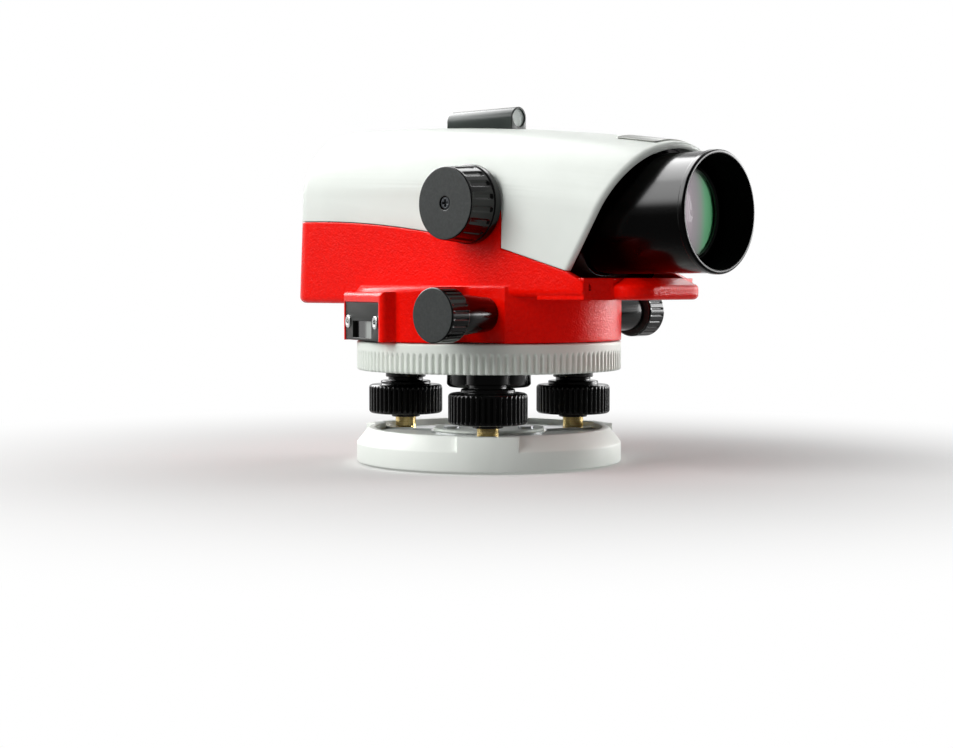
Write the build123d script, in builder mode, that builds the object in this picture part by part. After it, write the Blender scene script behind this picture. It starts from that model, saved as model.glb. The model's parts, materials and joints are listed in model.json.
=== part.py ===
from build123d import *
import math
import os

os.makedirs("parts", exist_ok=True)

# An automatic level for building and survey work, in millimetres and degrees.
# The origin is the mouth of the tripod thread, in the middle of the base plate's underside.
# +X points to the objective, +Y to the observer's left and +Z up.

# Clearances
running_gap = 0.06
seat_gap = 0.1
turn_gap = 0.3
seam_gap = 0.3
press_gap = 0.02
collar_gap = 0.2

# Base plate
base_radius = 50.0
base_top_radius = 45.6
base_wall_top = 7.8
base_top = 13.3
contact_height = 0.8
contact_radius = 44.0
contact_relief_inner = 14.0
contact_relief_outer = 34.0
pad_width = 22.0
thread_radius = 6.75
thread_depth = 9.6
dish_radius = 43.0
dish_depth = 2.2

# Footscrews
foot_inset = 8.9
foot_count = 3
front_foot_angle = -48.0
ball_radius = 4.2
ball_height = 7.6
neck_radius = 2.8
spindle_radius = 4.0
spindle_top = 40.6
knob_bottom = 17.1
knob_height = 11.2
knob_radius = 14.3
knob_edge = 1.0
knob_ribs = 43
rib_depth = 0.5
rib_half_width = 0.55
spindle_edge = 0.5
lower_collar_radius = 5.5
lower_collar_height = 1.4
upper_collar_radius = 9.75
upper_collar_height = 1.5
stem_radius = 6.8
stem_height = 3.4
spring_thickness = 0.8
lobe_radius = 8.0
clamp_radius = 21.0
clamp_thickness = 1.2
clamp_screw_circle = 16.0
clamp_screw_radius = 1.5
clamp_screw_length = 5.0
clamp_head_height = 1.0
clamp_edge = 0.4

# Tribrach and vertical axis
boss_radius = 7.8
boss_bottom = 31.2
bush_radius = 6.4
bush_bottom = 35.2
tribrach_play = 0.7
tribrach_bottom = 36.2
tribrach_top = 41.2
hub_radius = 16.0
hub_bottom = 28.4
tower_radius = 12.0
tower_top = 59.3
pin_radius = 8.0
pin_bottom = 31.0
stud_radius = 4.0
stud_length = 4.0
nut_radius = 11.0
nut_top = 1.5
relief_depth = 2.5
relief_margin = 3.0
relief_rib_width = 8.0
hub_edge = 1.0

# Horizontal circle
ring_step = 0.1
ring_bottom = 35.2
ring_top = 46.1
ring_wall = 2.6
ring_teeth = 120
tooth_depth = 0.7
tooth_half_width = 0.75
tooth_top = 42.4
ring_edge = 0.4
web_thickness = 2.0
washer_thickness = 0.9
washer_width = 8.0
circle_radius = 33.0
circle_wall = 1.8
flange_width = 7.2
circle_top = 52.6

# Housing: outer form of the casting and the cover together
crown_x = -70.0
crown_z = 128.1
crown_radius = 1063.0
top_arc = 40.0
shoulder_arc = 26.0
half_width = 31.0
shoulder_offset = half_width - shoulder_arc
sweep_degrees = 10.5
side_draft = 1.5
rear_x = -75.5
rear_corner = 8.0
rear_low = 59.8
belly_edge = 2.5
belly_step_x = -30.0
cover_edge = 1.5
front_low = 62.6
housing_wall = 2.4
form_margin = 20.0
tip_x = 75.5
tip_top = 66.4
tip_fall = 5.0
cut_foot_x = 64.4
cut_foot_z = 71.5
cut_slope = 0.6
seam_rear_z = 91.4
seam_flat_x = -72.0
seam_mid = (-34.3, 89.9)
seam_rise = 0.00105
lug_half_width = 13.2
lug_z = 90.0
seam_front_z = 79.7

# Casting below the housing
drum_radius = 50.0
drum_wall = 2.5
drum_bottom = 46.4
drum_top = 66.3
drum_edge = 2.0
floor_thickness = 2.5
nose_x = 87.0
nose_half_width = 20.0
nose_bottom = 61.8
nose_top = 69.3
nose_corner = 9.0
nose_edge = 1.8
nose_slope_width = 6.0
nose_slope_drop = 2.6
nose_taper = 4.0
sill_x = 72.0
pin_boss_radius = 14.0
pin_boss_top = 69.0

# Endless horizontal drive
drive_x = 28.3
drive_z = 56.5
drive_reach = 59.7
drive_knob_length = 9.2
drive_knob_radius = 9.6
drive_knob_ribs = 24
drive_rib_depth = 0.6
drive_rib_half = 0.6
shaft_recess = 1.0
drive_shaft_radius = 2.5
drive_knob_edge = 0.8
boot_radius = 7.3
boot_root_radius = 6.1
boot_stem_radius = 4.9
boot_stem_length = 4.5
boot_rim = 4.0
boot_edge = 1.0
pocket_floor = 32.5
pocket_start = 17.5
pocket_end = 39.5
pocket_wall = 2.0
pocket_corner = 3.5
pocket_top = 67.0
worm_radius = 4.2
worm_length = 16.0
wheel_thickness = 5.0

# Circle reading window
window_angle = -22.5
window_stand = 1.7
window_half_width = 19.7
window_top = 64.5
plate_half_width = 17.0
plate_bottom = 46.6
plate_top = 60.6
plate_thickness = 1.6
opening_half_width = 9.4
opening_bottom = 47.5
opening_top = 53.7
window_depth = 4.3
window_edge = 2.0
sleeve_wall = 0.9
plate_recess = 0.3
pane_thickness = 1.2
window_screw_offset = 13.8
window_screw_z = 53.3
window_screw_radius = 2.4
window_head_height = 0.5
window_screw_length = 3.5
window_screw_depth = 4.5
plate_corner = 0.6

# Telescope
sight_z = 91.6
hood_front = 105.9
hood_rear = 56.0
rim_radius = 21.13
rim_length = 2.4
rim_edge = 0.5
barrel_radius = 20.7
hood_bore = 19.4
cell_front = 94.0
cell_length = 14.0
clear_aperture = 15.5
lens_radius = 16.6
lens_setback = 0.6
lens_seat_depth = 1.5
lens_joint = 6.8
lens_gap = 0.1
crown_front_curve = -70.0
crown_rear_curve = 77.0
flint_rear_curve = 900.0
tube_radius = 18.0
tube_bore = 16.2
tube_front = 84.0
tube_rear = -23.0
saddle_half_width = 10.0
saddle_length = 7.5
saddle_rear_x = -22.5
saddle_front_x = 40.0
bezel_depth = 7.0
bezel_thickness = 2.5
carriage_x = 12.0
carriage_length = 14.0
focus_lens_radius = 12.0
focus_lens_thickness = 5.0
focus_lens_curve = 31.0
focus_lens_waist = 1.0
focus_travel = 10.0

# Focusing drive
focus_x = 21.1
focus_z = 95.6
focus_stand = 1.0
focus_length = 14.0
focus_face_radius = 12.9
focus_body_radius = 13.8
focus_flange_radius = 14.25
focus_flange_length = 3.0
focus_edge = 0.4
focus_flutes = 18
flute_radius = 1.5
flute_depth = 0.45
flute_margin = 1.7
pinion_radius = 4.0
pinion_length = 3.8
pinion_start = 18.6
mesh_gap = 0.05
focus_shaft_radius = 2.0
rack_height = 2.6
rack_length = 36.0
rack_web = 10.0
rack_reach = 19.0
rack_width = 3.0
slot_margin = 1.0
rack_side_gap = 0.8
bushing_radius = 5.0
bushing_depth = 5.8
bushing_flange_length = 2.6
bushing_flange_width = 1.5
screw_head_radius = 1.9
screw_recess = 3.2
screw_head_height = 2.0
cross_length = 2.6
cross_width = 0.6
screw_edge = 0.3
flange_edge = 0.5

# Eyepiece
eye_end = -84.1
dioptre_radius = 13.0
dioptre_ribs = 36
dioptre_rib_depth = 0.5
dioptre_rib_half = 0.5
dioptre_edge = 0.6
eye_lip = 1.0
eye_mouth_radius = 7.7
eye_lens_depth = 6.0
eye_lens_thickness = 5.0
eye_lens_curve = 40.0
eye_tube_radius = 10.5
eye_tube_bore = 9.2
eye_tube_front = -56.0
rear_bezel_radius = 16.0
rear_bezel_thickness = 1.6
rear_hole_radius = 15.5
rear_bezel_edge = 0.8
spigot_length = 5.0
bezel_seat = -75.95
reticle_radius = 8.0
reticle_thickness = 1.5
reticle_depth = 3.0
mount_length = 4.0

# Compensator
comp_x = -37.0
comp_length = 22.0
comp_half_width = 17.0
comp_top = 112.0
pendulum_bottom = 72.0
frame_thickness = 2.0
hanger_length = 8.0
tape_half_x = 3.0
tape_half_y = 10.0
tape_width = 1.2
tape_thickness = 0.3
tape_length = 5.5
bar_length = 9.0
bar_thickness = 2.0
bar_drop = 8.0
cheek_inset = 5.0
cheek_foot = 7.0
cheek_thickness = 1.5
prism_height = 7.0
prism_gap = 0.1
prism_inner = 7.6
prism_outer = 10.5
prism_half_height = 6.0
prism_inner_top = 2.0

# Optical sight and name plate on the cover
sight_rear_x = -18.4
sight_front_x = 15.1
sight_half_width = 4.0
sight_top_z = 132.9
sight_edge = 0.8
sight_hole_depth = 3.0
sight_tunnel_radius = 2.0
sight_tunnel_rise = 1.0
sight_lens_seat = 1.6
sight_lens_inset = 0.4
sight_lens_lip = 0.6
sight_window_inset = 0.5
sight_window_thickness = 1.5
sight_window_radius = 3.25
label_rear_x = 69.0
label_front_x = 86.5
label_half_width = 10.0
label_thickness = 0.5
label_corner = 1.0

# Circular level on the observer's left
level_x = -8.0
level_radius = 7.4
level_stand = 2.9
level_height = 7.5
vial_radius = 5.6
vial_height = 5.0
level_hood_bottom = 89.5
level_hood_size = 12.0
level_hood_head = 3.0
level_hood_lip = 2.0
level_hood_wall = 1.2
level_hood_back = 1.6
level_hood_slope = 3.5
level_edge = 0.5
vial_inset = 0.3

boot_end = drive_reach - drive_knob_length - turn_gap
window_distance = drum_radius + window_stand
level_y = half_width + level_stand + level_radius
focus_back = half_width + focus_stand
focus_face = focus_back + focus_length
bushing_start = half_width - bushing_depth
ring_radius = drum_radius - ring_step
tribrach_radius = ring_radius - ring_wall - tribrach_play
foot_circle = tribrach_radius - foot_inset

sight_plane = Plane(origin=(0, 0, sight_z), x_dir=(0, 1, 0), z_dir=(1, 0, 0))
near_drive = Plane(origin=(drive_x, 0, drive_z), x_dir=(1, 0, 0), z_dir=(0, -1, 0))
far_drive = Plane(origin=(drive_x, 0, drive_z), x_dir=(1, 0, 0), z_dir=(0, 1, 0))
focus_plane = Plane(origin=(focus_x, 0, focus_z), x_dir=(1, 0, 0), z_dir=(0, -1, 0))
window_turn = math.radians(window_angle)
window_out = (math.sin(window_turn), -math.cos(window_turn), 0)
window_side = (math.cos(window_turn), math.sin(window_turn), 0)
window_plane = Plane(origin=(0, 0, 0), x_dir=window_side, z_dir=window_out)


def disc(plane, start, stop, radius, bore=0.0, mode=Mode.ADD):
    """A round disc or ring between two distances along a plane's normal."""
    with BuildSketch(plane.offset(start)) as outline:
        Circle(radius)
        if bore:
            Circle(bore, mode=Mode.SUBTRACT)
    extrude(outline.sketch, amount=stop - start, mode=mode)


def cone(plane, start, stop, first, last, mode=Mode.ADD):
    """A cone frustum between two distances along a plane's normal."""
    with BuildSketch(plane.offset(start)) as lower:
        Circle(first)
    with BuildSketch(plane.offset(stop)) as upper:
        Circle(last)
    loft([lower.sketch, upper.sketch], mode=mode)


def grooves(plane, start, stop, radius, count, depth, width):
    """Vee grooves along a round knob, evenly spaced, cut from its rim."""
    with BuildSketch(plane.offset(start)) as teeth:
        with PolarLocations(radius, count):
            Polygon((0.4, -width), (0.4, width), (-depth, 0), align=None)
    extrude(teeth.sketch, amount=stop - start, mode=Mode.SUBTRACT)


def lens_arc(vertex, curve):
    """Half of a lens face, from its vertex on the sight line out to the lens edge."""
    slope = math.asin(lens_radius / curve)
    half = (vertex + curve - curve * math.cos(slope / 2), sight_z + curve * math.sin(slope / 2))
    end = (vertex + curve - curve * math.cos(slope), sight_z + lens_radius)
    return ThreePointArc((vertex, sight_z), half, end)


def housing_section(inset, low):
    """The arched cross-section at the crown, inset all round by a wall."""
    lean = math.asin(shoulder_offset / (top_arc - shoulder_arc))
    spring = crown_z - top_arc + (top_arc - shoulder_arc) * math.cos(lean)
    centre = crown_z - top_arc
    top = top_arc - inset
    shoulder = shoulder_arc - inset
    side = half_width - inset
    foot = side + (spring - low) * math.tan(math.radians(side_draft))
    join = (top * math.sin(lean), centre + top * math.cos(lean))
    mid = (shoulder_offset + shoulder * math.cos(0.7), spring + shoulder * math.sin(0.7))
    with BuildSketch(Plane.YZ.offset(crown_x)) as section:
        with BuildLine():
            ThreePointArc((-join[0], join[1]), (0, centre + top), join)
            ThreePointArc(join, mid, (side, spring))
            Line((side, spring), (foot, low))
            Line((foot, low), (-foot, low))
            Line((-foot, low), (-side, spring))
            ThreePointArc((-side, spring), (-mid[0], mid[1]), (-join[0], join[1]))
        make_face()
    return section.sketch


def cut_x(height, behind=0.0):
    """Where the slanted front cut stands at a height, moved back square to itself."""
    shift = behind * math.hypot(1, cut_slope)
    return cut_foot_x + (height - cut_foot_z) * cut_slope - shift


def housing_form(inset, past=0.0):
    """The closed outer form of the housing, or its cavity when inset by the wall."""
    low = rear_low - form_margin
    high = crown_z + form_margin
    lean = math.tan(math.radians(side_draft))
    rear_foot = (rear_x + inset - (seam_rear_z - rear_low) * lean, rear_low + inset)
    rear_head = (rear_x + inset + (high - seam_rear_z) * lean, high)
    with BuildPart() as form:
        section = housing_section(inset, low)
        sweep_axis = Axis((crown_x, 0, crown_z - crown_radius), (0, 1, 0))
        revolve(section, axis=sweep_axis, revolution_arc=sweep_degrees)
        extrude(section, amount=2 * (rear_x - crown_x))
        with BuildSketch(Plane.XZ):
            Polygon(
                rear_foot,
                (belly_step_x, rear_low + inset),
                (belly_step_x, front_low + inset),
                (tip_x + past, front_low + inset),
                (tip_x + past, tip_top),
                (cut_foot_x + past, cut_foot_z),
                (cut_x(high) + past, high),
                rear_head,
                align=None,
            )
        extrude(amount=2 * half_width, both=True, mode=Mode.INTERSECT)
        rear = form.faces().sort_by(Axis.X)[0]
        rim = rear.edges().filter_by(lambda e: e.center().Z > rear_low + inset + 1)
        fillet(rim, rear_corner - inset)
        if not inset:
            outer = form.edges().filter_by(lambda e: abs(e.center().Y) > half_width - 1)
            belly = outer.filter_by(lambda e: e.center().Z < front_low + 1 and abs((e @ 0).Z - (e @ 1).Z) < 0.1)
            tip = outer.filter_by(lambda e: abs(e.center().X - tip_x) < 0.1 and e.center().Z < tip_top)
            fillet(belly + tip, belly_edge)
    return form.part


def seam_sketch(grow, lug):
    """Everything below the seam between casting and cover, seen from the side."""
    seam_end = (focus_x + lug_half_width, seam_front_z)
    lug_foot_z = seam_rear_z - (focus_x - lug_half_width - seam_flat_x) ** 2 * seam_rise
    with BuildSketch(Plane.XZ) as below:
        with BuildLine():
            Line((2 * rear_x, seam_rear_z), (seam_flat_x, seam_rear_z))
            ThreePointArc((seam_flat_x, seam_rear_z), seam_mid, (focus_x - lug_half_width, lug_foot_z))
            Line((focus_x - lug_half_width, lug_foot_z), seam_end)
            Line(seam_end, (cut_foot_x, cut_foot_z))
            Line((cut_foot_x, cut_foot_z), (tip_x + form_margin, tip_top - tip_fall))
            Line((tip_x + form_margin, tip_top - tip_fall), (tip_x + form_margin, drum_bottom))
            Line((tip_x + form_margin, drum_bottom), (2 * rear_x, drum_bottom))
            Line((2 * rear_x, drum_bottom), (2 * rear_x, seam_rear_z))
        make_face()
        if lug:
            with Locations((focus_x, (seam_front_z + lug_z) / 2)):
                Rectangle(2 * lug_half_width, lug_z - seam_front_z)
            with Locations((focus_x, lug_z)):
                Circle(lug_half_width)
        if grow:
            offset(amount=grow)
    return below.sketch


def below_seam(grow=0.0):
    """The solid that keeps what lies below the seam; only the near side has the lug."""
    with BuildPart() as keep:
        extrude(seam_sketch(grow, False), amount=-2 * half_width)
        extrude(seam_sketch(grow, True), amount=2 * half_width)
    return keep.part


# Base plate: coned round plate with three square-edged pads at the feet, dished on top
dish_floor = base_top - dish_depth
with BuildPart() as base_plate:
    with BuildSketch(Plane.XZ):
        Polygon(
            (0, contact_height),
            (base_radius, contact_height),
            (base_radius, base_wall_top),
            (base_top_radius, base_top),
            (0, base_top),
            align=None,
        )
    revolve(axis=Axis.Z)
    with BuildSketch(Plane.XY.offset(contact_height)):
        with PolarLocations(foot_circle, foot_count, start_angle=front_foot_angle):
            Rectangle(2 * base_radius - foot_circle, pad_width)
        Circle(base_radius, mode=Mode.INTERSECT)
    extrude(amount=base_top - contact_height)
    disc(Plane.XY, 0, contact_height, contact_radius)
    disc(Plane.XY, 0, 2 * contact_height, contact_relief_outer, contact_relief_inner, Mode.SUBTRACT)
    disc(Plane.XY, 0, thread_depth, thread_radius, mode=Mode.SUBTRACT)
    with BuildSketch(Plane.XY.offset(dish_floor)):
        Circle(dish_radius)
        with PolarLocations(foot_circle, foot_count, start_angle=front_foot_angle):
            Circle(lobe_radius + turn_gap)
    extrude(amount=dish_depth, mode=Mode.SUBTRACT)
    with BuildSketch(Plane.XY.offset(base_top)):
        with PolarLocations(foot_circle, foot_count, start_angle=front_foot_angle):
            Circle(ball_radius + seat_gap)
    extrude(amount=ball_height - ball_radius - seat_gap - base_top, mode=Mode.SUBTRACT)
    with BuildSketch(Plane.XY.offset(dish_floor)):
        with PolarLocations(clamp_screw_circle, foot_count, start_angle=front_foot_angle + 60):
            Circle(clamp_screw_radius)
    extrude(amount=-clamp_screw_length - seat_gap, mode=Mode.SUBTRACT)
base_plate.part.label = "base_plate"
export_step(base_plate.part, "parts/base_plate.step")

# Spring plate: one lobe over each foot, held down in the middle
spring_top = dish_floor + spring_thickness
with BuildPart() as spring_plate:
    with BuildSketch(Plane.XY.offset(dish_floor)):
        Circle(clamp_radius + 1)
        with PolarLocations(foot_circle, foot_count, start_angle=front_foot_angle):
            Circle(lobe_radius)
        with PolarLocations(foot_circle / 2, foot_count, start_angle=front_foot_angle):
            Rectangle(foot_circle, 1.5 * lobe_radius)
        with PolarLocations(foot_circle, foot_count, start_angle=front_foot_angle):
            Circle(neck_radius + turn_gap, mode=Mode.SUBTRACT)
        with PolarLocations(clamp_screw_circle, foot_count, start_angle=front_foot_angle + 60):
            Circle(clamp_screw_radius + seat_gap, mode=Mode.SUBTRACT)
    extrude(amount=spring_thickness)
spring_plate.part.label = "spring_plate"
export_step(spring_plate.part, "parts/spring_plate.step")

clamp_top = spring_top + clamp_thickness
with BuildPart() as clamp_disc:
    disc(Plane.XY, spring_top, clamp_top, clamp_radius)
    chamfer(clamp_disc.edges().group_by(Axis.Z)[-1], clamp_edge)
    with BuildSketch(Plane.XY.offset(spring_top)):
        with PolarLocations(clamp_screw_circle, foot_count, start_angle=front_foot_angle + 60):
            Circle(clamp_screw_radius + seat_gap)
    extrude(amount=clamp_thickness, mode=Mode.SUBTRACT)
clamp_disc.part.label = "clamp_disc"
export_step(clamp_disc.part, "parts/clamp_disc.step")

with BuildPart() as clamp_screws:
    with BuildSketch(Plane.XY.offset(dish_floor - clamp_screw_length)):
        with PolarLocations(clamp_screw_circle, foot_count, start_angle=front_foot_angle + 60):
            Circle(clamp_screw_radius)
    extrude(amount=clamp_top - dish_floor + clamp_screw_length)
    with BuildSketch(Plane.XY.offset(clamp_top)):
        with PolarLocations(clamp_screw_circle, foot_count, start_angle=front_foot_angle + 60):
            Circle(2 * clamp_screw_radius)
    extrude(amount=clamp_head_height)
clamp_screws.part.label = "clamp_screws"
export_step(clamp_screws.part, "parts/clamp_screws.step")

# Footscrews: a brass spindle on a ball foot, and a ribbed knob fixed on it
knob_top = knob_bottom + knob_height
for index in range(foot_count):
    turn = math.radians(front_foot_angle + index * 360 / foot_count)
    foot = Plane(origin=(foot_circle * math.cos(turn), foot_circle * math.sin(turn), 0))
    with BuildPart() as footscrew_spindle:
        with Locations(foot.offset(ball_height)):
            Sphere(ball_radius)
        disc(foot, ball_height, spring_top + collar_gap, neck_radius)
        disc(foot, spring_top + collar_gap, spindle_top, spindle_radius)
        chamfer(footscrew_spindle.edges().group_by(Axis.Z)[-1], spindle_edge)
    footscrew_spindle.part.label = f"footscrew_spindle_{index + 1}"
    export_step(footscrew_spindle.part, f"parts/footscrew_spindle_{index + 1}.step")

    with BuildPart() as footscrew_knob:
        disc(foot, knob_bottom, knob_top, knob_radius)
        fillet(footscrew_knob.edges(), knob_edge)
        rib_start = knob_bottom + knob_edge
        rib_end = knob_top - knob_edge
        grooves(foot, rib_start, rib_end, knob_radius, knob_ribs, rib_depth, rib_half_width)
        disc(foot, knob_bottom - lower_collar_height, knob_bottom, lower_collar_radius)
        disc(foot, knob_top, knob_top + upper_collar_height, upper_collar_radius)
        disc(foot, knob_top, knob_top + upper_collar_height + stem_height, stem_radius)
        disc(foot, 0, spindle_top, spindle_radius + press_gap, mode=Mode.SUBTRACT)
    footscrew_knob.part.label = f"footscrew_knob_{index + 1}"
    export_step(footscrew_knob.part, f"parts/footscrew_knob_{index + 1}.step")

# Tribrach: plate with a boss over each footscrew and the hub of the vertical axis
with BuildPart() as tribrach:
    disc(Plane.XY, tribrach_bottom, tribrach_top, tribrach_radius)
    with BuildSketch(Plane.XY.offset(tribrach_bottom)):
        Circle(foot_circle - boss_radius - relief_margin)
        Circle(hub_radius + relief_margin, mode=Mode.SUBTRACT)
        with PolarLocations(foot_circle / 2, foot_count, start_angle=front_foot_angle):
            Rectangle(foot_circle, relief_rib_width, mode=Mode.SUBTRACT)
    extrude(amount=relief_depth, mode=Mode.SUBTRACT)
    disc(Plane.XY, hub_bottom, tribrach_bottom + relief_depth, hub_radius)
    chamfer(tribrach.edges().group_by(Axis.Z)[0], hub_edge)
    disc(Plane.XY, tribrach_top, tower_top, tower_radius)
    with BuildSketch(Plane.XY.offset(boss_bottom)):
        with PolarLocations(foot_circle, foot_count, start_angle=front_foot_angle):
            Circle(boss_radius)
    extrude(amount=tribrach_top - boss_bottom)
    with BuildSketch(Plane.XY.offset(boss_bottom)):
        with PolarLocations(foot_circle, foot_count, start_angle=front_foot_angle):
            Circle(stem_radius + turn_gap)
    extrude(amount=bush_bottom - boss_bottom, mode=Mode.SUBTRACT)
    with BuildSketch(Plane.XY.offset(bush_bottom)):
        with PolarLocations(foot_circle, foot_count, start_angle=front_foot_angle):
            Circle(bush_radius + press_gap)
    extrude(amount=tribrach_top - bush_bottom, mode=Mode.SUBTRACT)
    disc(Plane.XY, pin_bottom, tower_top, pin_radius + press_gap, mode=Mode.SUBTRACT)
tribrach.part.label = "tribrach"
export_step(tribrach.part, "parts/tribrach.step")

with BuildPart() as footscrew_bushes:
    with BuildSketch(Plane.XY.offset(bush_bottom)):
        with PolarLocations(foot_circle, foot_count, start_angle=front_foot_angle):
            Circle(bush_radius)
            Circle(spindle_radius + seat_gap, mode=Mode.SUBTRACT)
    extrude(amount=tribrach_top - bush_bottom)
footscrew_bushes.part.label = "footscrew_bushes"
export_step(footscrew_bushes.part, "parts/footscrew_bushes.step")

with BuildPart() as axis_pin:
    disc(Plane.XY, pin_bottom, pin_boss_top + seat_gap, pin_radius)
    disc(Plane.XY, pin_boss_top + seat_gap, pin_boss_top + stud_length, stud_radius)
axis_pin.part.label = "axis_pin"
export_step(axis_pin.part, "parts/axis_pin.step")

with BuildPart() as axis_washer:
    disc(Plane.XY, pin_boss_top + seat_gap, pin_boss_top + nut_top, nut_radius, stud_radius + press_gap)
axis_washer.part.label = "axis_washer"
export_step(axis_washer.part, "parts/axis_washer.step")

# Horizontal circle: knurled ring on the tribrach, with the divided drum inside
web_bottom = tribrach_top + washer_thickness + seat_gap
web_top = web_bottom + web_thickness
with BuildPart() as circle_ring:
    disc(Plane.XY, ring_bottom, ring_top, ring_radius, ring_radius - ring_wall)
    disc(Plane.XY, web_bottom, web_top, ring_radius - ring_wall / 2, tower_radius + running_gap)
    fillet(circle_ring.edges().filter_by(GeomType.CIRCLE).sort_by(Axis.Z)[-1], ring_edge)
    grooves(Plane.XY, ring_bottom, tooth_top, ring_radius, ring_teeth, tooth_depth, tooth_half_width)
circle_ring.part.label = "circle_ring"
export_step(circle_ring.part, "parts/circle_ring.step")

with BuildPart() as friction_washer:
    disc(Plane.XY, tribrach_top, tribrach_top + washer_thickness, tower_radius + washer_width, tower_radius + seat_gap)
friction_washer.part.label = "friction_washer"
export_step(friction_washer.part, "parts/friction_washer.step")

with BuildPart() as divided_circle:
    disc(Plane.XY, web_top, circle_top, circle_radius, circle_radius - circle_wall)
    disc(Plane.XY, web_top, web_top + circle_wall, circle_radius, circle_radius - flange_width)
divided_circle.part.label = "divided_circle"
export_step(divided_circle.part, "parts/divided_circle.step")

# Main casting: tub of the housing, drum over the circle, window box and nose
inner_radius = drum_radius - drum_wall
pocket_width = pocket_end - pocket_start
ceiling = drum_top - floor_thickness
sleeve_half_width = opening_half_width + sleeve_wall
sleeve_top = opening_top + sleeve_wall
shell = housing_form(0)
cavity = housing_form(housing_wall, form_margin)

# the sill closes the front of the tub
sill_root = drum_radius + 1
with BuildPart() as sill:
    with BuildSketch(Plane.XY.offset(nose_bottom)):
        Polygon(
            (sill_root, -half_width),
            (sill_x, -half_width),
            (sill_x + nose_taper, -nose_half_width),
            (sill_x + nose_taper, nose_half_width),
            (sill_x, half_width),
            (sill_root, half_width),
            align=None,
        )
    extrude(amount=nose_top - nose_bottom)

# the nose runs out of it under the hood; its top slopes away towards a rounded rim
nose_shoulder = nose_top - nose_slope_drop
nose_slope = math.degrees(math.atan(nose_slope_width / nose_slope_drop))
with BuildPart() as nose:
    with BuildSketch(Plane.XY.offset(nose_shoulder)) as nose_plan:
        with Locations(((sill_root + nose_x) / 2, 0)):
            Rectangle(nose_x - sill_root, 2 * nose_half_width)
        fillet(nose_plan.vertices().group_by(Axis.X)[-1], nose_corner)
    extrude(amount=nose_bottom - nose_shoulder)
    extrude(nose_plan.sketch, amount=nose_slope_drop, taper=nose_slope)
    rim = nose.edges().filter_by(lambda e: e.center().X > sill_x)
    shoulder = rim.filter_by(lambda e: abs(e.center().Z - nose_shoulder) < 0.01)
    fillet(shoulder + rim.group_by(Axis.Z)[0], nose_edge)

# the box that carries the reading window, its roots buried in the drum
with BuildPart() as window_box:
    with BuildSketch(window_plane.offset(inner_radius - drum_wall)):
        with Locations((0, (drum_bottom + window_top) / 2)):
            Rectangle(2 * window_half_width, window_top - drum_bottom)
    extrude(amount=window_distance - inner_radius + drum_wall)
    face = window_box.faces().sort_by(Axis(origin=(0, 0, 0), direction=window_out))[-1]
    fillet(face.edges().sort_by(Axis.Z)[1:], window_edge)

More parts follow.
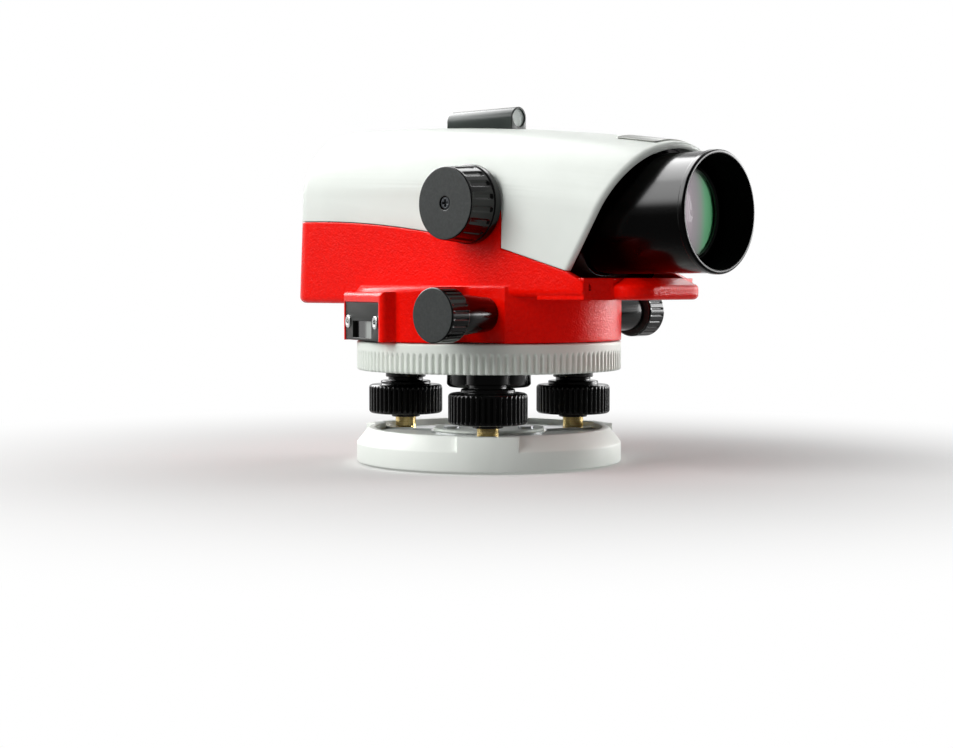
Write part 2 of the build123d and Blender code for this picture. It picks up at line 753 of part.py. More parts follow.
with BuildPart() as main_casting:
    add(shell)
    add(cavity, mode=Mode.SUBTRACT)
    add(below_seam(), mode=Mode.INTERSECT)
    add(sill.part)
    add(nose.part)
    with BuildSketch(Plane.XZ):
        with BuildLine():
            Polyline((0, drum_bottom), (drum_radius, drum_bottom), (drum_radius, drum_top - drum_edge))
            RadiusArc((drum_radius, drum_top - drum_edge), (drum_radius - drum_edge, drum_top), -drum_edge)
            Polyline((drum_radius - drum_edge, drum_top), (0, drum_top), (0, drum_bottom))
        make_face()
    revolve(axis=Axis.Z)
    add(window_box.part)
    disc(Plane.XY, drum_bottom, ceiling, inner_radius, mode=Mode.SUBTRACT)
    # rooms for the two drive knobs, each with a thin wall towards the circle
    for side in (-1, 1):
        with BuildSketch(Plane.XY.offset(drum_bottom)):
            with Locations(((pocket_start + pocket_end) / 2, side * (drum_radius + pocket_floor - pocket_wall))):
                RectangleRounded(pocket_width + 2 * pocket_wall, 2 * drum_radius, pocket_corner + pocket_wall)
            Circle(drum_radius - collar_gap, mode=Mode.INTERSECT)
        extrude(amount=drum_top - drum_bottom)
        with BuildSketch(Plane.XY.offset(drum_bottom)):
            with Locations(((pocket_start + pocket_end) / 2, side * (drum_radius + pocket_floor))):
                RectangleRounded(pocket_width, 2 * drum_radius, pocket_corner)
        extrude(amount=pocket_top - drum_bottom, mode=Mode.SUBTRACT)
    disc(near_drive, -drum_radius, drum_radius, boot_stem_radius + press_gap, mode=Mode.SUBTRACT)
    # reading window: rebate for the plate, room for the pane, and the way through
    disc(Plane.XY, tower_top + collar_gap, pin_boss_top, pin_boss_radius)
    disc(Plane.XY, tower_top, pin_boss_top + 1, pin_radius + running_gap, mode=Mode.SUBTRACT)
    with BuildSketch(window_plane.offset(window_distance)):
        with Locations((0, (drum_bottom + plate_top) / 2)):
            Rectangle(2 * (plate_half_width + seat_gap), plate_top - drum_bottom + 2 * seat_gap)
    extrude(amount=-plate_thickness - plate_recess, mode=Mode.SUBTRACT)
    with BuildSketch(window_plane.offset(window_distance - plate_recess)):
        with Locations((0, (opening_bottom + opening_top) / 2)):
            Rectangle(2 * opening_half_width, opening_top - opening_bottom)
    extrude(amount=-form_margin, mode=Mode.SUBTRACT)
    with BuildSketch(window_plane.offset(window_distance - plate_recess)):
        with Locations((0, (drum_bottom + sleeve_top) / 2)):
            Rectangle(2 * (sleeve_half_width + seat_gap), sleeve_top - drum_bottom + 2 * seat_gap)
    extrude(amount=-window_depth - pane_thickness, mode=Mode.SUBTRACT)
    with BuildSketch(window_plane.offset(window_distance)):
        with Locations((-window_screw_offset, window_screw_z), (window_screw_offset, window_screw_z)):
            Circle(window_screw_radius / 2 + press_gap)
    extrude(amount=-window_screw_depth, mode=Mode.SUBTRACT)
    # cradles for the telescope tube
    for x in (saddle_rear_x, saddle_front_x):
        with BuildSketch(Plane.YZ.offset(x)):
            with Locations((0, (ceiling + 1 + sight_z - tube_radius / 2) / 2)):
                Rectangle(2 * saddle_half_width, sight_z - tube_radius / 2 - ceiling - 1)
            with Locations((0, sight_z)):
                Circle(tube_radius + press_gap, mode=Mode.SUBTRACT)
        extrude(amount=saddle_length)
    disc(sight_plane, 2 * rear_x, crown_x, rear_hole_radius, mode=Mode.SUBTRACT)
    disc(focus_plane, bushing_start, focus_back + 1, bushing_radius + press_gap, mode=Mode.SUBTRACT)
main_casting.part.label = "main_casting"
export_step(main_casting.part, "parts/main_casting.step")

# Top cover: the rest of the shell, parted from the casting by an even seam
with BuildPart() as top_cover:
    add(shell)
    add(below_seam(seam_gap), mode=Mode.SUBTRACT)
    front = top_cover.faces().sort_by(Axis.X)[-1]
    fillet(front.edges().sort_by(Axis.Z)[1:], cover_edge)
    add(cavity, mode=Mode.SUBTRACT)
    disc(sight_plane, 2 * rear_x, crown_x, rear_hole_radius, mode=Mode.SUBTRACT)
top_cover.part.label = "top_cover"
export_step(top_cover.part, "parts/top_cover.step")

# Front bezel: a plate across the housing, parallel to the slanted cut
with BuildPart() as front_bezel:
    add(housing_form(housing_wall + seat_gap, form_margin))
    with BuildSketch(Plane.XZ):
        low = nose_top + seat_gap
        high = crown_z + form_margin
        Polygon(
            (cut_x(low, bezel_depth + bezel_thickness), low),
            (cut_x(low, bezel_depth), low),
            (cut_x(high, bezel_depth), high),
            (cut_x(high, bezel_depth + bezel_thickness), high),
            align=None,
        )
    extrude(amount=2 * half_width, both=True, mode=Mode.INTERSECT)
    disc(sight_plane, 0, hood_front, rim_radius + 0.1, mode=Mode.SUBTRACT)
front_bezel.part.label = "front_bezel"
export_step(front_bezel.part, "parts/front_bezel.step")

# Telescope: hood, objective cell with its doublet, and the tube lying in the cradles
with BuildPart() as objective_hood:
    disc(sight_plane, hood_rear, hood_front - rim_length, barrel_radius)
    disc(sight_plane, hood_front - rim_length, hood_front, rim_radius)
    fillet(objective_hood.edges().group_by(Axis.X)[-1], rim_edge)
    disc(sight_plane, hood_rear, hood_front, hood_bore, mode=Mode.SUBTRACT)
objective_hood.part.label = "objective_hood"
export_step(objective_hood.part, "parts/objective_hood.step")

with BuildPart() as objective_cell:
    disc(sight_plane, cell_front - cell_length, cell_front, hood_bore - mesh_gap)
    disc(sight_plane, 0, cell_front, clear_aperture, mode=Mode.SUBTRACT)
    disc(sight_plane, 0, cell_front - lens_seat_depth, lens_radius + press_gap, mode=Mode.SUBTRACT)
    disc(sight_plane, 0, tube_front + seat_gap, tube_radius + press_gap, mode=Mode.SUBTRACT)
    chamfer(objective_cell.edges().group_by(Axis.X)[-1].sort_by(SortBy.RADIUS)[0], lens_setback)
objective_cell.part.label = "objective_cell"
export_step(objective_cell.part, "parts/objective_cell.step")

# the two lenses share one curved face, a fine gap apart
front_vertex = cell_front - lens_setback
joint_vertex = cell_front - lens_joint
for name, rear_curve, front_curve in (
    ("crown_lens", (joint_vertex, crown_rear_curve), (front_vertex, crown_front_curve)),
    ("flint_lens", (tube_front + turn_gap, flint_rear_curve), (joint_vertex - lens_gap, crown_rear_curve + lens_gap)),
):
    with BuildPart() as lens:
        with BuildSketch(Plane.XZ):
            with BuildLine():
                rear_edge = lens_arc(*rear_curve)
                front_edge = lens_arc(*front_curve)
                Line(rear_edge @ 1, front_edge @ 1)
                Line(rear_edge @ 0, front_edge @ 0)
            make_face()
        revolve(axis=Axis((0, 0, sight_z), (1, 0, 0)))
    lens.part.label = name
    export_step(lens.part, f"parts/{name}.step")

rack_top = focus_z - pinion_radius - mesh_gap
slot_half = focus_travel + rack_web / 2 + slot_margin
with BuildPart() as telescope_tube:
    disc(sight_plane, tube_rear, tube_front, tube_radius, tube_bore)
    with BuildSketch(Plane.XZ.offset(tube_bore / 2)):
        with Locations((carriage_x, rack_top - rack_height / 2)):
            SlotOverall(2 * slot_half, rack_height)
    extrude(amount=tube_radius, mode=Mode.SUBTRACT)
telescope_tube.part.label = "telescope_tube"
export_step(telescope_tube.part, "parts/telescope_tube.step")

# Focusing carriage: slides in the tube, its rack reaching out through the slot
with BuildPart() as focusing_carriage:
    rear = carriage_x - carriage_length / 2
    disc(sight_plane, rear, rear + carriage_length, tube_bore - seat_gap, focus_lens_radius + press_gap)
    with BuildSketch(Plane.XZ.offset(tube_bore - 1)):
        with Locations((carriage_x, rack_top - rack_height / 2)):
            Rectangle(rack_web, rack_height - rack_side_gap)
    extrude(amount=rack_reach - tube_bore + 2)
    with BuildSketch(Plane.XZ.offset(rack_reach)):
        with Locations((focus_x, rack_top - rack_height / 2)):
            Rectangle(rack_length, rack_height)
    extrude(amount=rack_width)
focusing_carriage.part.label = "focusing_carriage"
export_step(focusing_carriage.part, "parts/focusing_carriage.step")

with BuildPart() as focusing_lens:
    half = focus_lens_thickness / 2
    disc(sight_plane, carriage_x - half, carriage_x + half, focus_lens_radius)
    with Locations((carriage_x + focus_lens_curve + focus_lens_waist, 0, sight_z)):
        Sphere(focus_lens_curve, mode=Mode.SUBTRACT)
focusing_lens.part.label = "focusing_lens"
export_step(focusing_lens.part, "parts/focusing_lens.step")

# Focusing drive: pinion on a shaft through the casting's lug, fluted knob outside
with BuildPart() as focus_shaft:
    disc(focus_plane, pinion_start, pinion_start + pinion_length, pinion_radius)
    disc(focus_plane, pinion_start, focus_face - screw_recess, focus_shaft_radius)
focus_shaft.part.label = "focus_shaft"
export_step(focus_shaft.part, "parts/focus_shaft.step")

with BuildPart() as focus_bushing:
    disc(focus_plane, bushing_start, focus_back - turn_gap, bushing_radius)
    disc(focus_plane, bushing_start, bushing_start + bushing_flange_length, bushing_radius + bushing_flange_width)
    disc(focus_plane, bushing_start, focus_back, focus_shaft_radius + running_gap, mode=Mode.SUBTRACT)
focus_bushing.part.label = "focus_bushing"
export_step(focus_bushing.part, "parts/focus_bushing.step")

flange_front = focus_back + focus_flange_length
knob_taper = (focus_body_radius - focus_face_radius) / (focus_face - flange_front)
flute_start = flange_front + flute_margin
flute_length = focus_face - flute_margin - flute_start
flute_circle = focus_body_radius - knob_taper * flute_margin - flute_depth + flute_radius
flute_drop = knob_taper * flute_length
flute_lean = math.degrees(math.atan(knob_taper))
with BuildPart() as focus_knob:
    disc(focus_plane, focus_back, flange_front, focus_flange_radius)
    fillet(focus_knob.edges(), flange_edge)
    cone(focus_plane, flange_front, focus_face, focus_body_radius, focus_face_radius)
    fillet(focus_knob.edges().group_by(Axis.Y)[0], focus_edge)
    # each flute follows the taper and ends in a quarter ball
    for part_way in (0, 1):
        along = flute_start + part_way * flute_length
        with Locations(focus_plane.offset(along)):
            with PolarLocations(flute_circle - part_way * flute_drop, focus_flutes):
                Sphere(flute_radius, mode=Mode.SUBTRACT)
    with Locations(focus_plane.offset(flute_start + flute_length / 2)):
        with PolarLocations(flute_circle - flute_drop / 2, focus_flutes):
            Cylinder(flute_radius, flute_length, rotation=(0, -flute_lean, 0), mode=Mode.SUBTRACT)
    disc(focus_plane, focus_face - screw_recess, focus_face, screw_head_radius + turn_gap, mode=Mode.SUBTRACT)
    disc(focus_plane, focus_back, focus_face, focus_shaft_radius + press_gap, mode=Mode.SUBTRACT)
focus_knob.part.label = "focus_knob"
export_step(focus_knob.part, "parts/focus_knob.step")

screw_seat = focus_face - screw_recess + seat_gap
with BuildPart() as focus_screw:
    disc(focus_plane, screw_seat, screw_seat + screw_head_height, screw_head_radius)
    chamfer(focus_screw.edges().group_by(Axis.Y)[0], screw_edge)
    with BuildSketch(focus_plane.offset(screw_seat + screw_head_height / 2)):
        Rectangle(cross_length, cross_width)
        Rectangle(cross_width, cross_length)
    extrude(amount=screw_head_height, mode=Mode.SUBTRACT)
focus_screw.part.label = "focus_screw"
export_step(focus_screw.part, "parts/focus_screw.step")

# Compensator: frame on the casting floor, prism hanging from thin tapes, fixed prisms
hanger_top = comp_top - frame_thickness
bar_top = comp_top - bar_drop
carrier_half_width = comp_half_width - cheek_inset
with BuildPart() as compensator_frame:
    with BuildSketch(Plane.XY.offset(drum_top)):
        with Locations((comp_x, 0)):
            Rectangle(comp_length, 2 * comp_half_width)
    extrude(amount=frame_thickness)
    post_y = comp_half_width - frame_thickness / 2
    with BuildSketch(Plane.XY.offset(drum_top)):
        with Locations((comp_x, post_y), (comp_x, -post_y)):
            Rectangle(comp_length, frame_thickness)
    extrude(amount=comp_top - drum_top)
    with BuildSketch(Plane.XZ):
        with Locations((comp_x, comp_top - frame_thickness / 2)):
            Rectangle(hanger_length, frame_thickness)
    extrude(amount=comp_half_width, both=True)
compensator_frame.part.label = "compensator_frame"
export_step(compensator_frame.part, "parts/compensator_frame.step")

with BuildPart() as suspension_tapes:
    with BuildSketch(Plane.XY.offset(hanger_top)):
        with Locations((comp_x, 0)):
            with GridLocations(2 * tape_half_x, 2 * tape_half_y, 2, 2):
                Rectangle(tape_width, tape_thickness)
    extrude(amount=-tape_length)
suspension_tapes.part.label = "suspension_tapes"
export_step(suspension_tapes.part, "parts/suspension_tapes.step")

with BuildPart() as pendulum_carrier:
    with BuildSketch(Plane.XZ):
        with Locations((comp_x, bar_top - bar_thickness / 2)):
            Rectangle(bar_length, bar_thickness)
    extrude(amount=carrier_half_width, both=True)
    with BuildSketch(Plane.XZ.offset(carrier_half_width)):
        Polygon(
            (comp_x - bar_length / 2, bar_top),
            (comp_x + bar_length / 2, bar_top),
            (comp_x + cheek_foot, pendulum_bottom),
            (comp_x - cheek_foot, pendulum_bottom),
            align=None,
        )
    extrude(amount=-cheek_thickness)
    mirror(about=Plane.XZ)
    with BuildSketch(Plane.XY.offset(pendulum_bottom)):
        with Locations((comp_x, 0)):
            Rectangle(2 * cheek_foot, 2 * carrier_half_width)
    extrude(amount=cheek_thickness)
pendulum_carrier.part.label = "pendulum_carrier"
export_step(pendulum_carrier.part, "parts/pendulum_carrier.step")

prism_foot = pendulum_bottom + cheek_thickness + prism_gap
with BuildPart() as pendulum_prism:
    with BuildSketch(Plane.XZ):
        Polygon(
            (comp_x - cheek_foot, prism_foot),
            (comp_x + cheek_foot, prism_foot),
            (comp_x, prism_foot + prism_height),
            align=None,
        )
    extrude(amount=carrier_half_width - cheek_thickness - prism_gap, both=True)
pendulum_prism.part.label = "pendulum_prism"
export_step(pendulum_prism.part, "parts/pendulum_prism.step")

with BuildPart() as fixed_prisms:
    for way in (-1, 1):
        inner_x = comp_x + way * prism_inner
        outer_x = comp_x + way * prism_outer
        with BuildSketch(Plane.XZ):
            Polygon(
                (inner_x, sight_z - prism_half_height),
                (outer_x, sight_z - prism_half_height),
                (outer_x, sight_z + prism_half_height),
                (inner_x, sight_z + prism_inner_top),
                align=None,
            )
        extrude(amount=comp_half_width - frame_thickness, both=True)
fixed_prisms.part.label = "fixed_prisms"
export_step(fixed_prisms.part, "parts/fixed_prisms.step")

# Eyepiece: tube through the rear bezel, reticle, lens and the dioptre ring
bezel_face = bezel_seat - rear_bezel_thickness
with BuildPart() as rear_bezel:
    disc(sight_plane, bezel_face, bezel_seat, rear_bezel_radius)
    fillet(rear_bezel.edges().group_by(Axis.X)[0], rear_bezel_edge)
    disc(sight_plane, bezel_seat, bezel_seat + spigot_length, rear_hole_radius - mesh_gap)
    disc(sight_plane, eye_end, eye_tube_front, eye_tube_radius + press_gap, mode=Mode.SUBTRACT)
rear_bezel.part.label = "rear_bezel"
export_step(rear_bezel.part, "parts/rear_bezel.step")

with BuildPart() as eyepiece_tube:
    disc(sight_plane, eye_end + eye_lip + collar_gap, eye_tube_front, eye_tube_radius, eye_tube_bore)
eyepiece_tube.part.label = "eyepiece_tube"
export_step(eyepiece_tube.part, "parts/eyepiece_tube.step")

eye_lens_front = eye_end + eye_lens_depth + eye_lens_thickness
with BuildPart() as eye_lens:
    disc(sight_plane, eye_end + eye_lens_depth, eye_lens_front, eye_tube_bore - press_gap)
    with Locations((eye_lens_front - eye_lens_curve, 0, sight_z)):
        Sphere(eye_lens_curve, mode=Mode.INTERSECT)
eye_lens.part.label = "eye_lens"
export_step(eye_lens.part, "parts/eye_lens.step")

reticle_seat = eye_tube_front - reticle_depth
with BuildPart() as reticle_mount:
    disc(sight_plane, eye_tube_front - mount_length, eye_tube_front, eye_tube_bore - press_gap, reticle_radius - 1)
    disc(sight_plane, reticle_seat, eye_tube_front, reticle_radius + press_gap, mode=Mode.SUBTRACT)
reticle_mount.part.label = "reticle_mount"
export_step(reticle_mount.part, "parts/reticle_mount.step")

with BuildPart() as reticle:
    disc(sight_plane, reticle_seat, reticle_seat + reticle_thickness, reticle_radius)
reticle.part.label = "reticle"
export_step(reticle.part, "parts/reticle.step")

with BuildPart() as dioptre_ring:
    disc(sight_plane, eye_end, bezel_face - turn_gap, dioptre_radius)
    fillet(dioptre_ring.edges(), dioptre_edge)
    grooves(sight_plane, eye_end + eye_lip, bezel_face, dioptre_radius, dioptre_ribs, dioptre_rib_depth, dioptre_rib_half)
    disc(sight_plane, eye_end, bezel_face, eye_mouth_radius, mode=Mode.SUBTRACT)
    disc(sight_plane, eye_end + eye_lip, bezel_face, eye_tube_radius + running_gap, mode=Mode.SUBTRACT)
dioptre_ring.part.label = "dioptre_ring"
export_step(dioptre_ring.part, "parts/dioptre_ring.step")

# Optical sight on the crown of the cover
sight_centre = sight_top_z - sight_half_width
front_rim = Plane(origin=(sight_front_x, 0, sight_centre), x_dir=(0, 1, 0), z_dir=(1, 0, 0))
tunnel = Plane(origin=(sight_rear_x, 0, sight_centre + sight_tunnel_rise), x_dir=(0, 1, 0), z_dir=(1, 0, 0))
with BuildPart() as sight_housing:
    with BuildSketch(Plane.YZ.offset(sight_rear_x)):
        with Locations((0, sight_centre - sight_half_width)):
            Rectangle(2 * sight_half_width, 2 * sight_half_width)
        with Locations((0, sight_centre)):
            Circle(sight_half_width)
    extrude(amount=sight_front_x - sight_rear_x)
    fillet(sight_housing.edges().group_by(Axis.X)[0], sight_edge)
    disc(front_rim, -sight_hole_depth, 0, sight_window_radius + mesh_gap, mode=Mode.SUBTRACT)
    disc(tunnel, 0, sight_front_x - sight_rear_x - sight_hole_depth, sight_tunnel_radius, mode=Mode.SUBTRACT)
    disc(tunnel, 0, sight_lens_seat, sight_tunnel_radius + sight_lens_lip, mode=Mode.SUBTRACT)
    add(shell, mode=Mode.SUBTRACT)
sight_housing.part.label = "sight_housing"
export_step(sight_housing.part, "parts/sight_housing.step")

with BuildPart() as sight_window:
    disc(front_rim, -sight_window_inset - sight_window_thickness, -sight_window_inset, sight_window_radius)
sight_window.part.label = "sight_window"
export_step(sight_window.part, "parts/sight_window.step")

with BuildPart() as sight_lens:
    disc(tunnel, sight_lens_inset, sight_lens_seat, sight_tunnel_radius + sight_lens_lip - mesh_gap)
sight_lens.part.label = "sight_lens"
export_step(sight_lens.part, "parts/sight_lens.step")

# Blank name plate in the cover's top, next to the front cut
with BuildPart() as name_plate:
    add(housing_form(-label_thickness))
    with BuildSketch(Plane.XY.offset(sight_z + rim_radius)):
        with Locations(((label_rear_x + label_front_x) / 2, 0)):
            RectangleRounded(label_front_x - label_rear_x, 2 * label_half_width, label_corner)
    extrude(amount=form_margin, mode=Mode.INTERSECT)
    add(shell, mode=Mode.SUBTRACT)
name_plate.part.label = "name_plate"
export_step(name_plate.part, "parts/name_plate.step")

# Reading window: plate with an opening, clear pane behind it and two screws
with BuildPart() as window_plate:
    with BuildSketch(window_plane.offset(window_distance - plate_recess - plate_thickness)):
        with Locations((0, (plate_bottom + plate_top) / 2)):
            RectangleRounded(2 * plate_half_width, plate_top - plate_bottom, plate_corner)
        with Locations((0, (opening_bottom + opening_top) / 2)):
            Rectangle(2 * opening_half_width, opening_top - opening_bottom, mode=Mode.SUBTRACT)
        with Locations((-window_screw_offset, window_screw_z), (window_screw_offset, window_screw_z)):
            Circle(window_screw_radius / 2 + seat_gap, mode=Mode.SUBTRACT)
    extrude(amount=plate_thickness)
    with BuildSketch(window_plane.offset(window_distance - plate_recess - window_depth)):
        with Locations((0, (opening_bottom + opening_top) / 2)):
            Rectangle(2 * sleeve_half_width, sleeve_top - opening_bottom + sleeve_wall)
            Rectangle(2 * opening_half_width, opening_top - opening_bottom, mode=Mode.SUBTRACT)
    extrude(amount=window_depth - plate_thickness)
window_plate.part.label = "window_plate"
export_step(window_plate.part, "parts/window_plate.step")

with BuildPart() as window_pane:
    with BuildSketch(window_plane.offset(window_distance - plate_recess - window_depth)):
        with Locations((0, (opening_bottom + opening_top) / 2)):
            Rectangle(2 * sleeve_half_width, sleeve_top - opening_bottom + sleeve_wall)
    extrude(amount=-pane_thickness)
window_pane.part.label = "window_pane"
export_step(window_pane.part, "parts/window_pane.step")

with BuildPart() as window_screws:
    with BuildSketch(window_plane.offset(window_distance - plate_recess)):
        with Locations((-window_screw_offset, window_screw_z), (window_screw_offset, window_screw_z)):
            Circle(window_screw_radius)
    extrude(amount=window_head_height)
    with BuildSketch(window_plane.offset(window_distance - plate_recess)):
        with Locations((-window_screw_offset, window_screw_z), (window_screw_offset, window_screw_z)):
            Circle(window_screw_radius / 2)
    extrude(amount=-window_screw_length)
window_screws.part.label = "window_screws"
export_step(window_screws.part, "parts/window_screws.step")

# Horizontal drive: worm shaft across the casting, a knob at each end, wheel on the tower
with BuildPart() as drive_shaft:
    disc(near_drive, shaft_recess - drive_reach, drive_reach - shaft_recess, drive_shaft_radius)
    disc(near_drive, -worm_length / 2, worm_length / 2, worm_radius)
drive_shaft.part.label = "drive_shaft"
export_step(drive_shaft.part, "parts/drive_shaft.step")

for name, plane in (("drive_knob_near", near_drive), ("drive_knob_far", far_drive)):
    knob_back = drive_reach - drive_knob_length
    with BuildPart() as drive_knob:
        disc(plane, knob_back, drive_reach, drive_knob_radius)
        fillet(drive_knob.edges(), drive_knob_edge)
        rib_start = knob_back + drive_knob_edge
        rib_end = drive_reach - drive_knob_edge
        grooves(plane, rib_start, rib_end, drive_knob_radius, drive_knob_ribs, drive_rib_depth, drive_rib_half)
        disc(plane, boot_end, drive_reach - shaft_recess, drive_shaft_radius + press_gap, mode=Mode.SUBTRACT)
    drive_knob.part.label = name
    export_step(drive_knob.part, f"parts/{name}.step")

boot_start = pocket_floor - boot_stem_length
with BuildPart() as drive_bushings:
    for plane in (near_drive, far_drive):
        disc(plane, boot_start, pocket_floor, boot_stem_radius)
        cone(plane, pocket_floor, boot_end - boot_rim, boot_root_radius, boot_radius)
        disc(plane, boot_end - boot_rim, boot_end, boot_radius)
        lip = drive_bushings.edges().filter_by(GeomType.CIRCLE).filter_by(
            lambda e: abs(abs(e.center().Y) - boot_end) < 0.01
        )
        fillet(lip.sort_by(Axis.Y)[0 if plane is near_drive else -1], boot_edge)
        disc(plane, boot_start, boot_end, drive_shaft_radius + running_gap, mode=Mode.SUBTRACT)
drive_bushings.part.label = "drive_bushings"
export_step(drive_bushings.part, "parts/drive_bushings.step")

wheel_radius = drive_x - worm_radius - seat_gap
with BuildPart() as drive_wheel:
    disc(
        Plane.XY,
        drive_z - wheel_thickness / 2,
        drive_z + wheel_thickness / 2,
        wheel_radius,
        tower_radius + running_gap,
    )
drive_wheel.part.label = "drive_wheel"
export_step(drive_wheel.part, "parts/drive_wheel.step")

# Circular level on the drum's shoulder, with a mirror hood above it
level_plane = Plane(origin=(level_x, level_y, 0))
level_top = drum_top + level_height
with BuildPart() as level_housing:
    disc(level_plane, drum_top, level_top, level_radius)
    chamfer(level_housing.edges().group_by(Axis.Z)[-1], level_edge)
    disc(level_plane, level_top - vial_height, level_top, vial_radius + press_gap, mode=Mode.SUBTRACT)
level_housing.part.label = "level_housing"
export_step(level_housing.part, "parts/level_housing.step")

with BuildPart() as level_vial:
    disc(level_plane, level_top - vial_height, level_top - vial_inset, vial_radius)
level_vial.part.label = "level_vial"
export_step(level_vial.part, "parts/level_vial.step")

hood_foot = half_width - 1
hood_outer = half_width + level_hood_size - level_hood_lip
hood_top = level_hood_bottom + level_hood_size
hood_inner = half_width + level_hood_back
with BuildPart() as level_hood:
    with BuildSketch(Plane.YZ.offset(level_x - level_hood_size / 2)):
        Polygon(
            (hood_foot, level_hood_bottom),
            (hood_outer, level_hood_bottom),
            (half_width + level_hood_head, hood_top),
            (hood_foot, hood_top),
            align=None,
        )
    extrude(amount=level_hood_size)
    with BuildSketch(Plane.YZ.offset(level_x - level_hood_size / 2 + level_hood_wall)):
        Polygon(
            (hood_inner, level_hood_bottom - 1),
            (hood_outer - level_hood_lip, level_hood_bottom - 1),
            (hood_inner, hood_top - level_hood_slope),
            align=None,
        )
    extrude(amount=level_hood_size - 2 * level_hood_wall, mode=Mode.SUBTRACT)
    add(shell, mode=Mode.SUBTRACT)
level_hood.part.label = "level_hood"
export_step(level_hood.part, "parts/level_hood.step")
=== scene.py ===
import json
import math
import bpy
import bmesh
import numpy as np
from mathutils import Matrix, Vector


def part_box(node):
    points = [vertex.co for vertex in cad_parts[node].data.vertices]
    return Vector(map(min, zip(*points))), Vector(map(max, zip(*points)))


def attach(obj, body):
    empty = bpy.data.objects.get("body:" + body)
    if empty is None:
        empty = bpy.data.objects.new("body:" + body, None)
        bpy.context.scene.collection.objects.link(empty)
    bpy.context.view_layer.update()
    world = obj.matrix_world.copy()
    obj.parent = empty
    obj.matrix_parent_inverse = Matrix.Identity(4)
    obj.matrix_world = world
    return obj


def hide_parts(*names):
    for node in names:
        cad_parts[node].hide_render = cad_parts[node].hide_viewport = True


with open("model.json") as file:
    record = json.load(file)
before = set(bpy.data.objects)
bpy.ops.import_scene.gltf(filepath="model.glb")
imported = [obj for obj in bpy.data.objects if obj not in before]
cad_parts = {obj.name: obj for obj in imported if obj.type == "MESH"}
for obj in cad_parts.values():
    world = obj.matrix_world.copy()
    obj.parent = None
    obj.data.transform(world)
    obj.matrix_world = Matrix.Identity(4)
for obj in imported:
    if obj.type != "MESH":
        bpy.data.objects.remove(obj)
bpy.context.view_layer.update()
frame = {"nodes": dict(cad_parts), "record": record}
scene = bpy.context.scene
nodes = frame["nodes"]
mm = 0.001

# the reading window's box is turned on the housing; side runs along its plate and out points away from it
windowTurn = math.radians(-22.5)
windowSide = (math.cos(windowTurn), math.sin(windowTurn), 0)
windowOut = (math.sin(windowTurn), -math.cos(windowTurn), 0)


def middle(node):  # of the node's box at rest
    low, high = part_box(node)
    return (low + high) / 2


def linear(code):  # sRGB hex such as "#D6DAD3" to linear red, green, blue and alpha 1
    values = [int(code[i:i + 2], 16) / 255 for i in (1, 3, 5)]
    return tuple(v / 12.92 if v <= 0.04045 else ((v + 0.055) / 1.055) ** 2.4 for v in values) + (1,)


def add(tree, kind, inputs=None, **settings):  # one node with its settings, values and links
    made = tree.nodes.new(kind)
    for name, value in settings.items():
        setattr(made, name, value)
    for name, value in (inputs or {}).items():
        if isinstance(value, bpy.types.NodeSocket):
            tree.links.new(value, made.inputs[name])
        else:
            made.inputs[name].default_value = value
    return made


def newMaterial(name):
    made = bpy.data.materials.new(name)
    made.use_nodes = True
    tree = made.node_tree
    tree.nodes.clear()
    out = add(tree, "ShaderNodeOutputMaterial")
    place = add(tree, "ShaderNodeTexCoord").outputs["Object"]
    return made, tree, out, place


def ramp(tree, fac, stops):  # a colour ramp; stops are (position, hex colour)
    made = add(tree, "ShaderNodeValToRGB", {"Fac": fac})
    points = made.color_ramp.elements
    while len(points) < len(stops):
        points.new(1.0)
    for point, (where, code) in zip(points, stops):
        point.position = where
        point.color = linear(code)
    return made.outputs["Color"]


def connectSurface(tree, out, shader):
    tree.links.new(shader.outputs[0], out.inputs["Surface"])


def clouded(tree, place, spread, colour, second):  # two close tints in soft clouds, spread mm across
    clouds = add(tree, "ShaderNodeTexNoise", {
        "Vector": place, "Scale": 1 / (spread * mm), "Detail": 3.0})
    return ramp(tree, clouds.outputs["Fac"], [(0.35, colour), (0.68, second)])


def rounded(tree, radius):  # normals as if every edge were rounded by the radius in mm
    return add(tree, "ShaderNodeBevel", {"Radius": radius * mm}, samples=6).outputs["Normal"]


def coated(name, colour, second, roughness, grain, bump, specular=0.5, metallic=0.0, edge=0.4):
    # paint, anodising or moulded plastic: close tints in clouds 22 mm across, and a fine grain that varies
    # the gloss by 0.05 either way and raises the surface by up to 0.1 mm; grain and edge are in mm
    made, tree, out, place = newMaterial(name)
    tint = clouded(tree, place, 22, colour, second)
    fine = add(tree, "ShaderNodeTexNoise", {"Vector": place, "Scale": 1 / (grain * mm), "Detail": 2.0})
    gloss = add(tree, "ShaderNodeMapRange", {
        "Value": fine.outputs["Fac"], "To Min": roughness - 0.05, "To Max": roughness + 0.05})
    relief = add(tree, "ShaderNodeBump", {
        "Height": fine.outputs["Fac"], "Strength": bump, "Distance": 0.1 * mm, "Normal": rounded(tree, edge)})
    shader = add(tree, "ShaderNodeBsdfPrincipled", {
        "Base Color": tint, "Roughness": gloss.outputs["Result"], "Normal": relief.outputs["Normal"],
        "Metallic": metallic, "Specular IOR Level": specular})
    connectSurface(tree, out, shader)
    return made


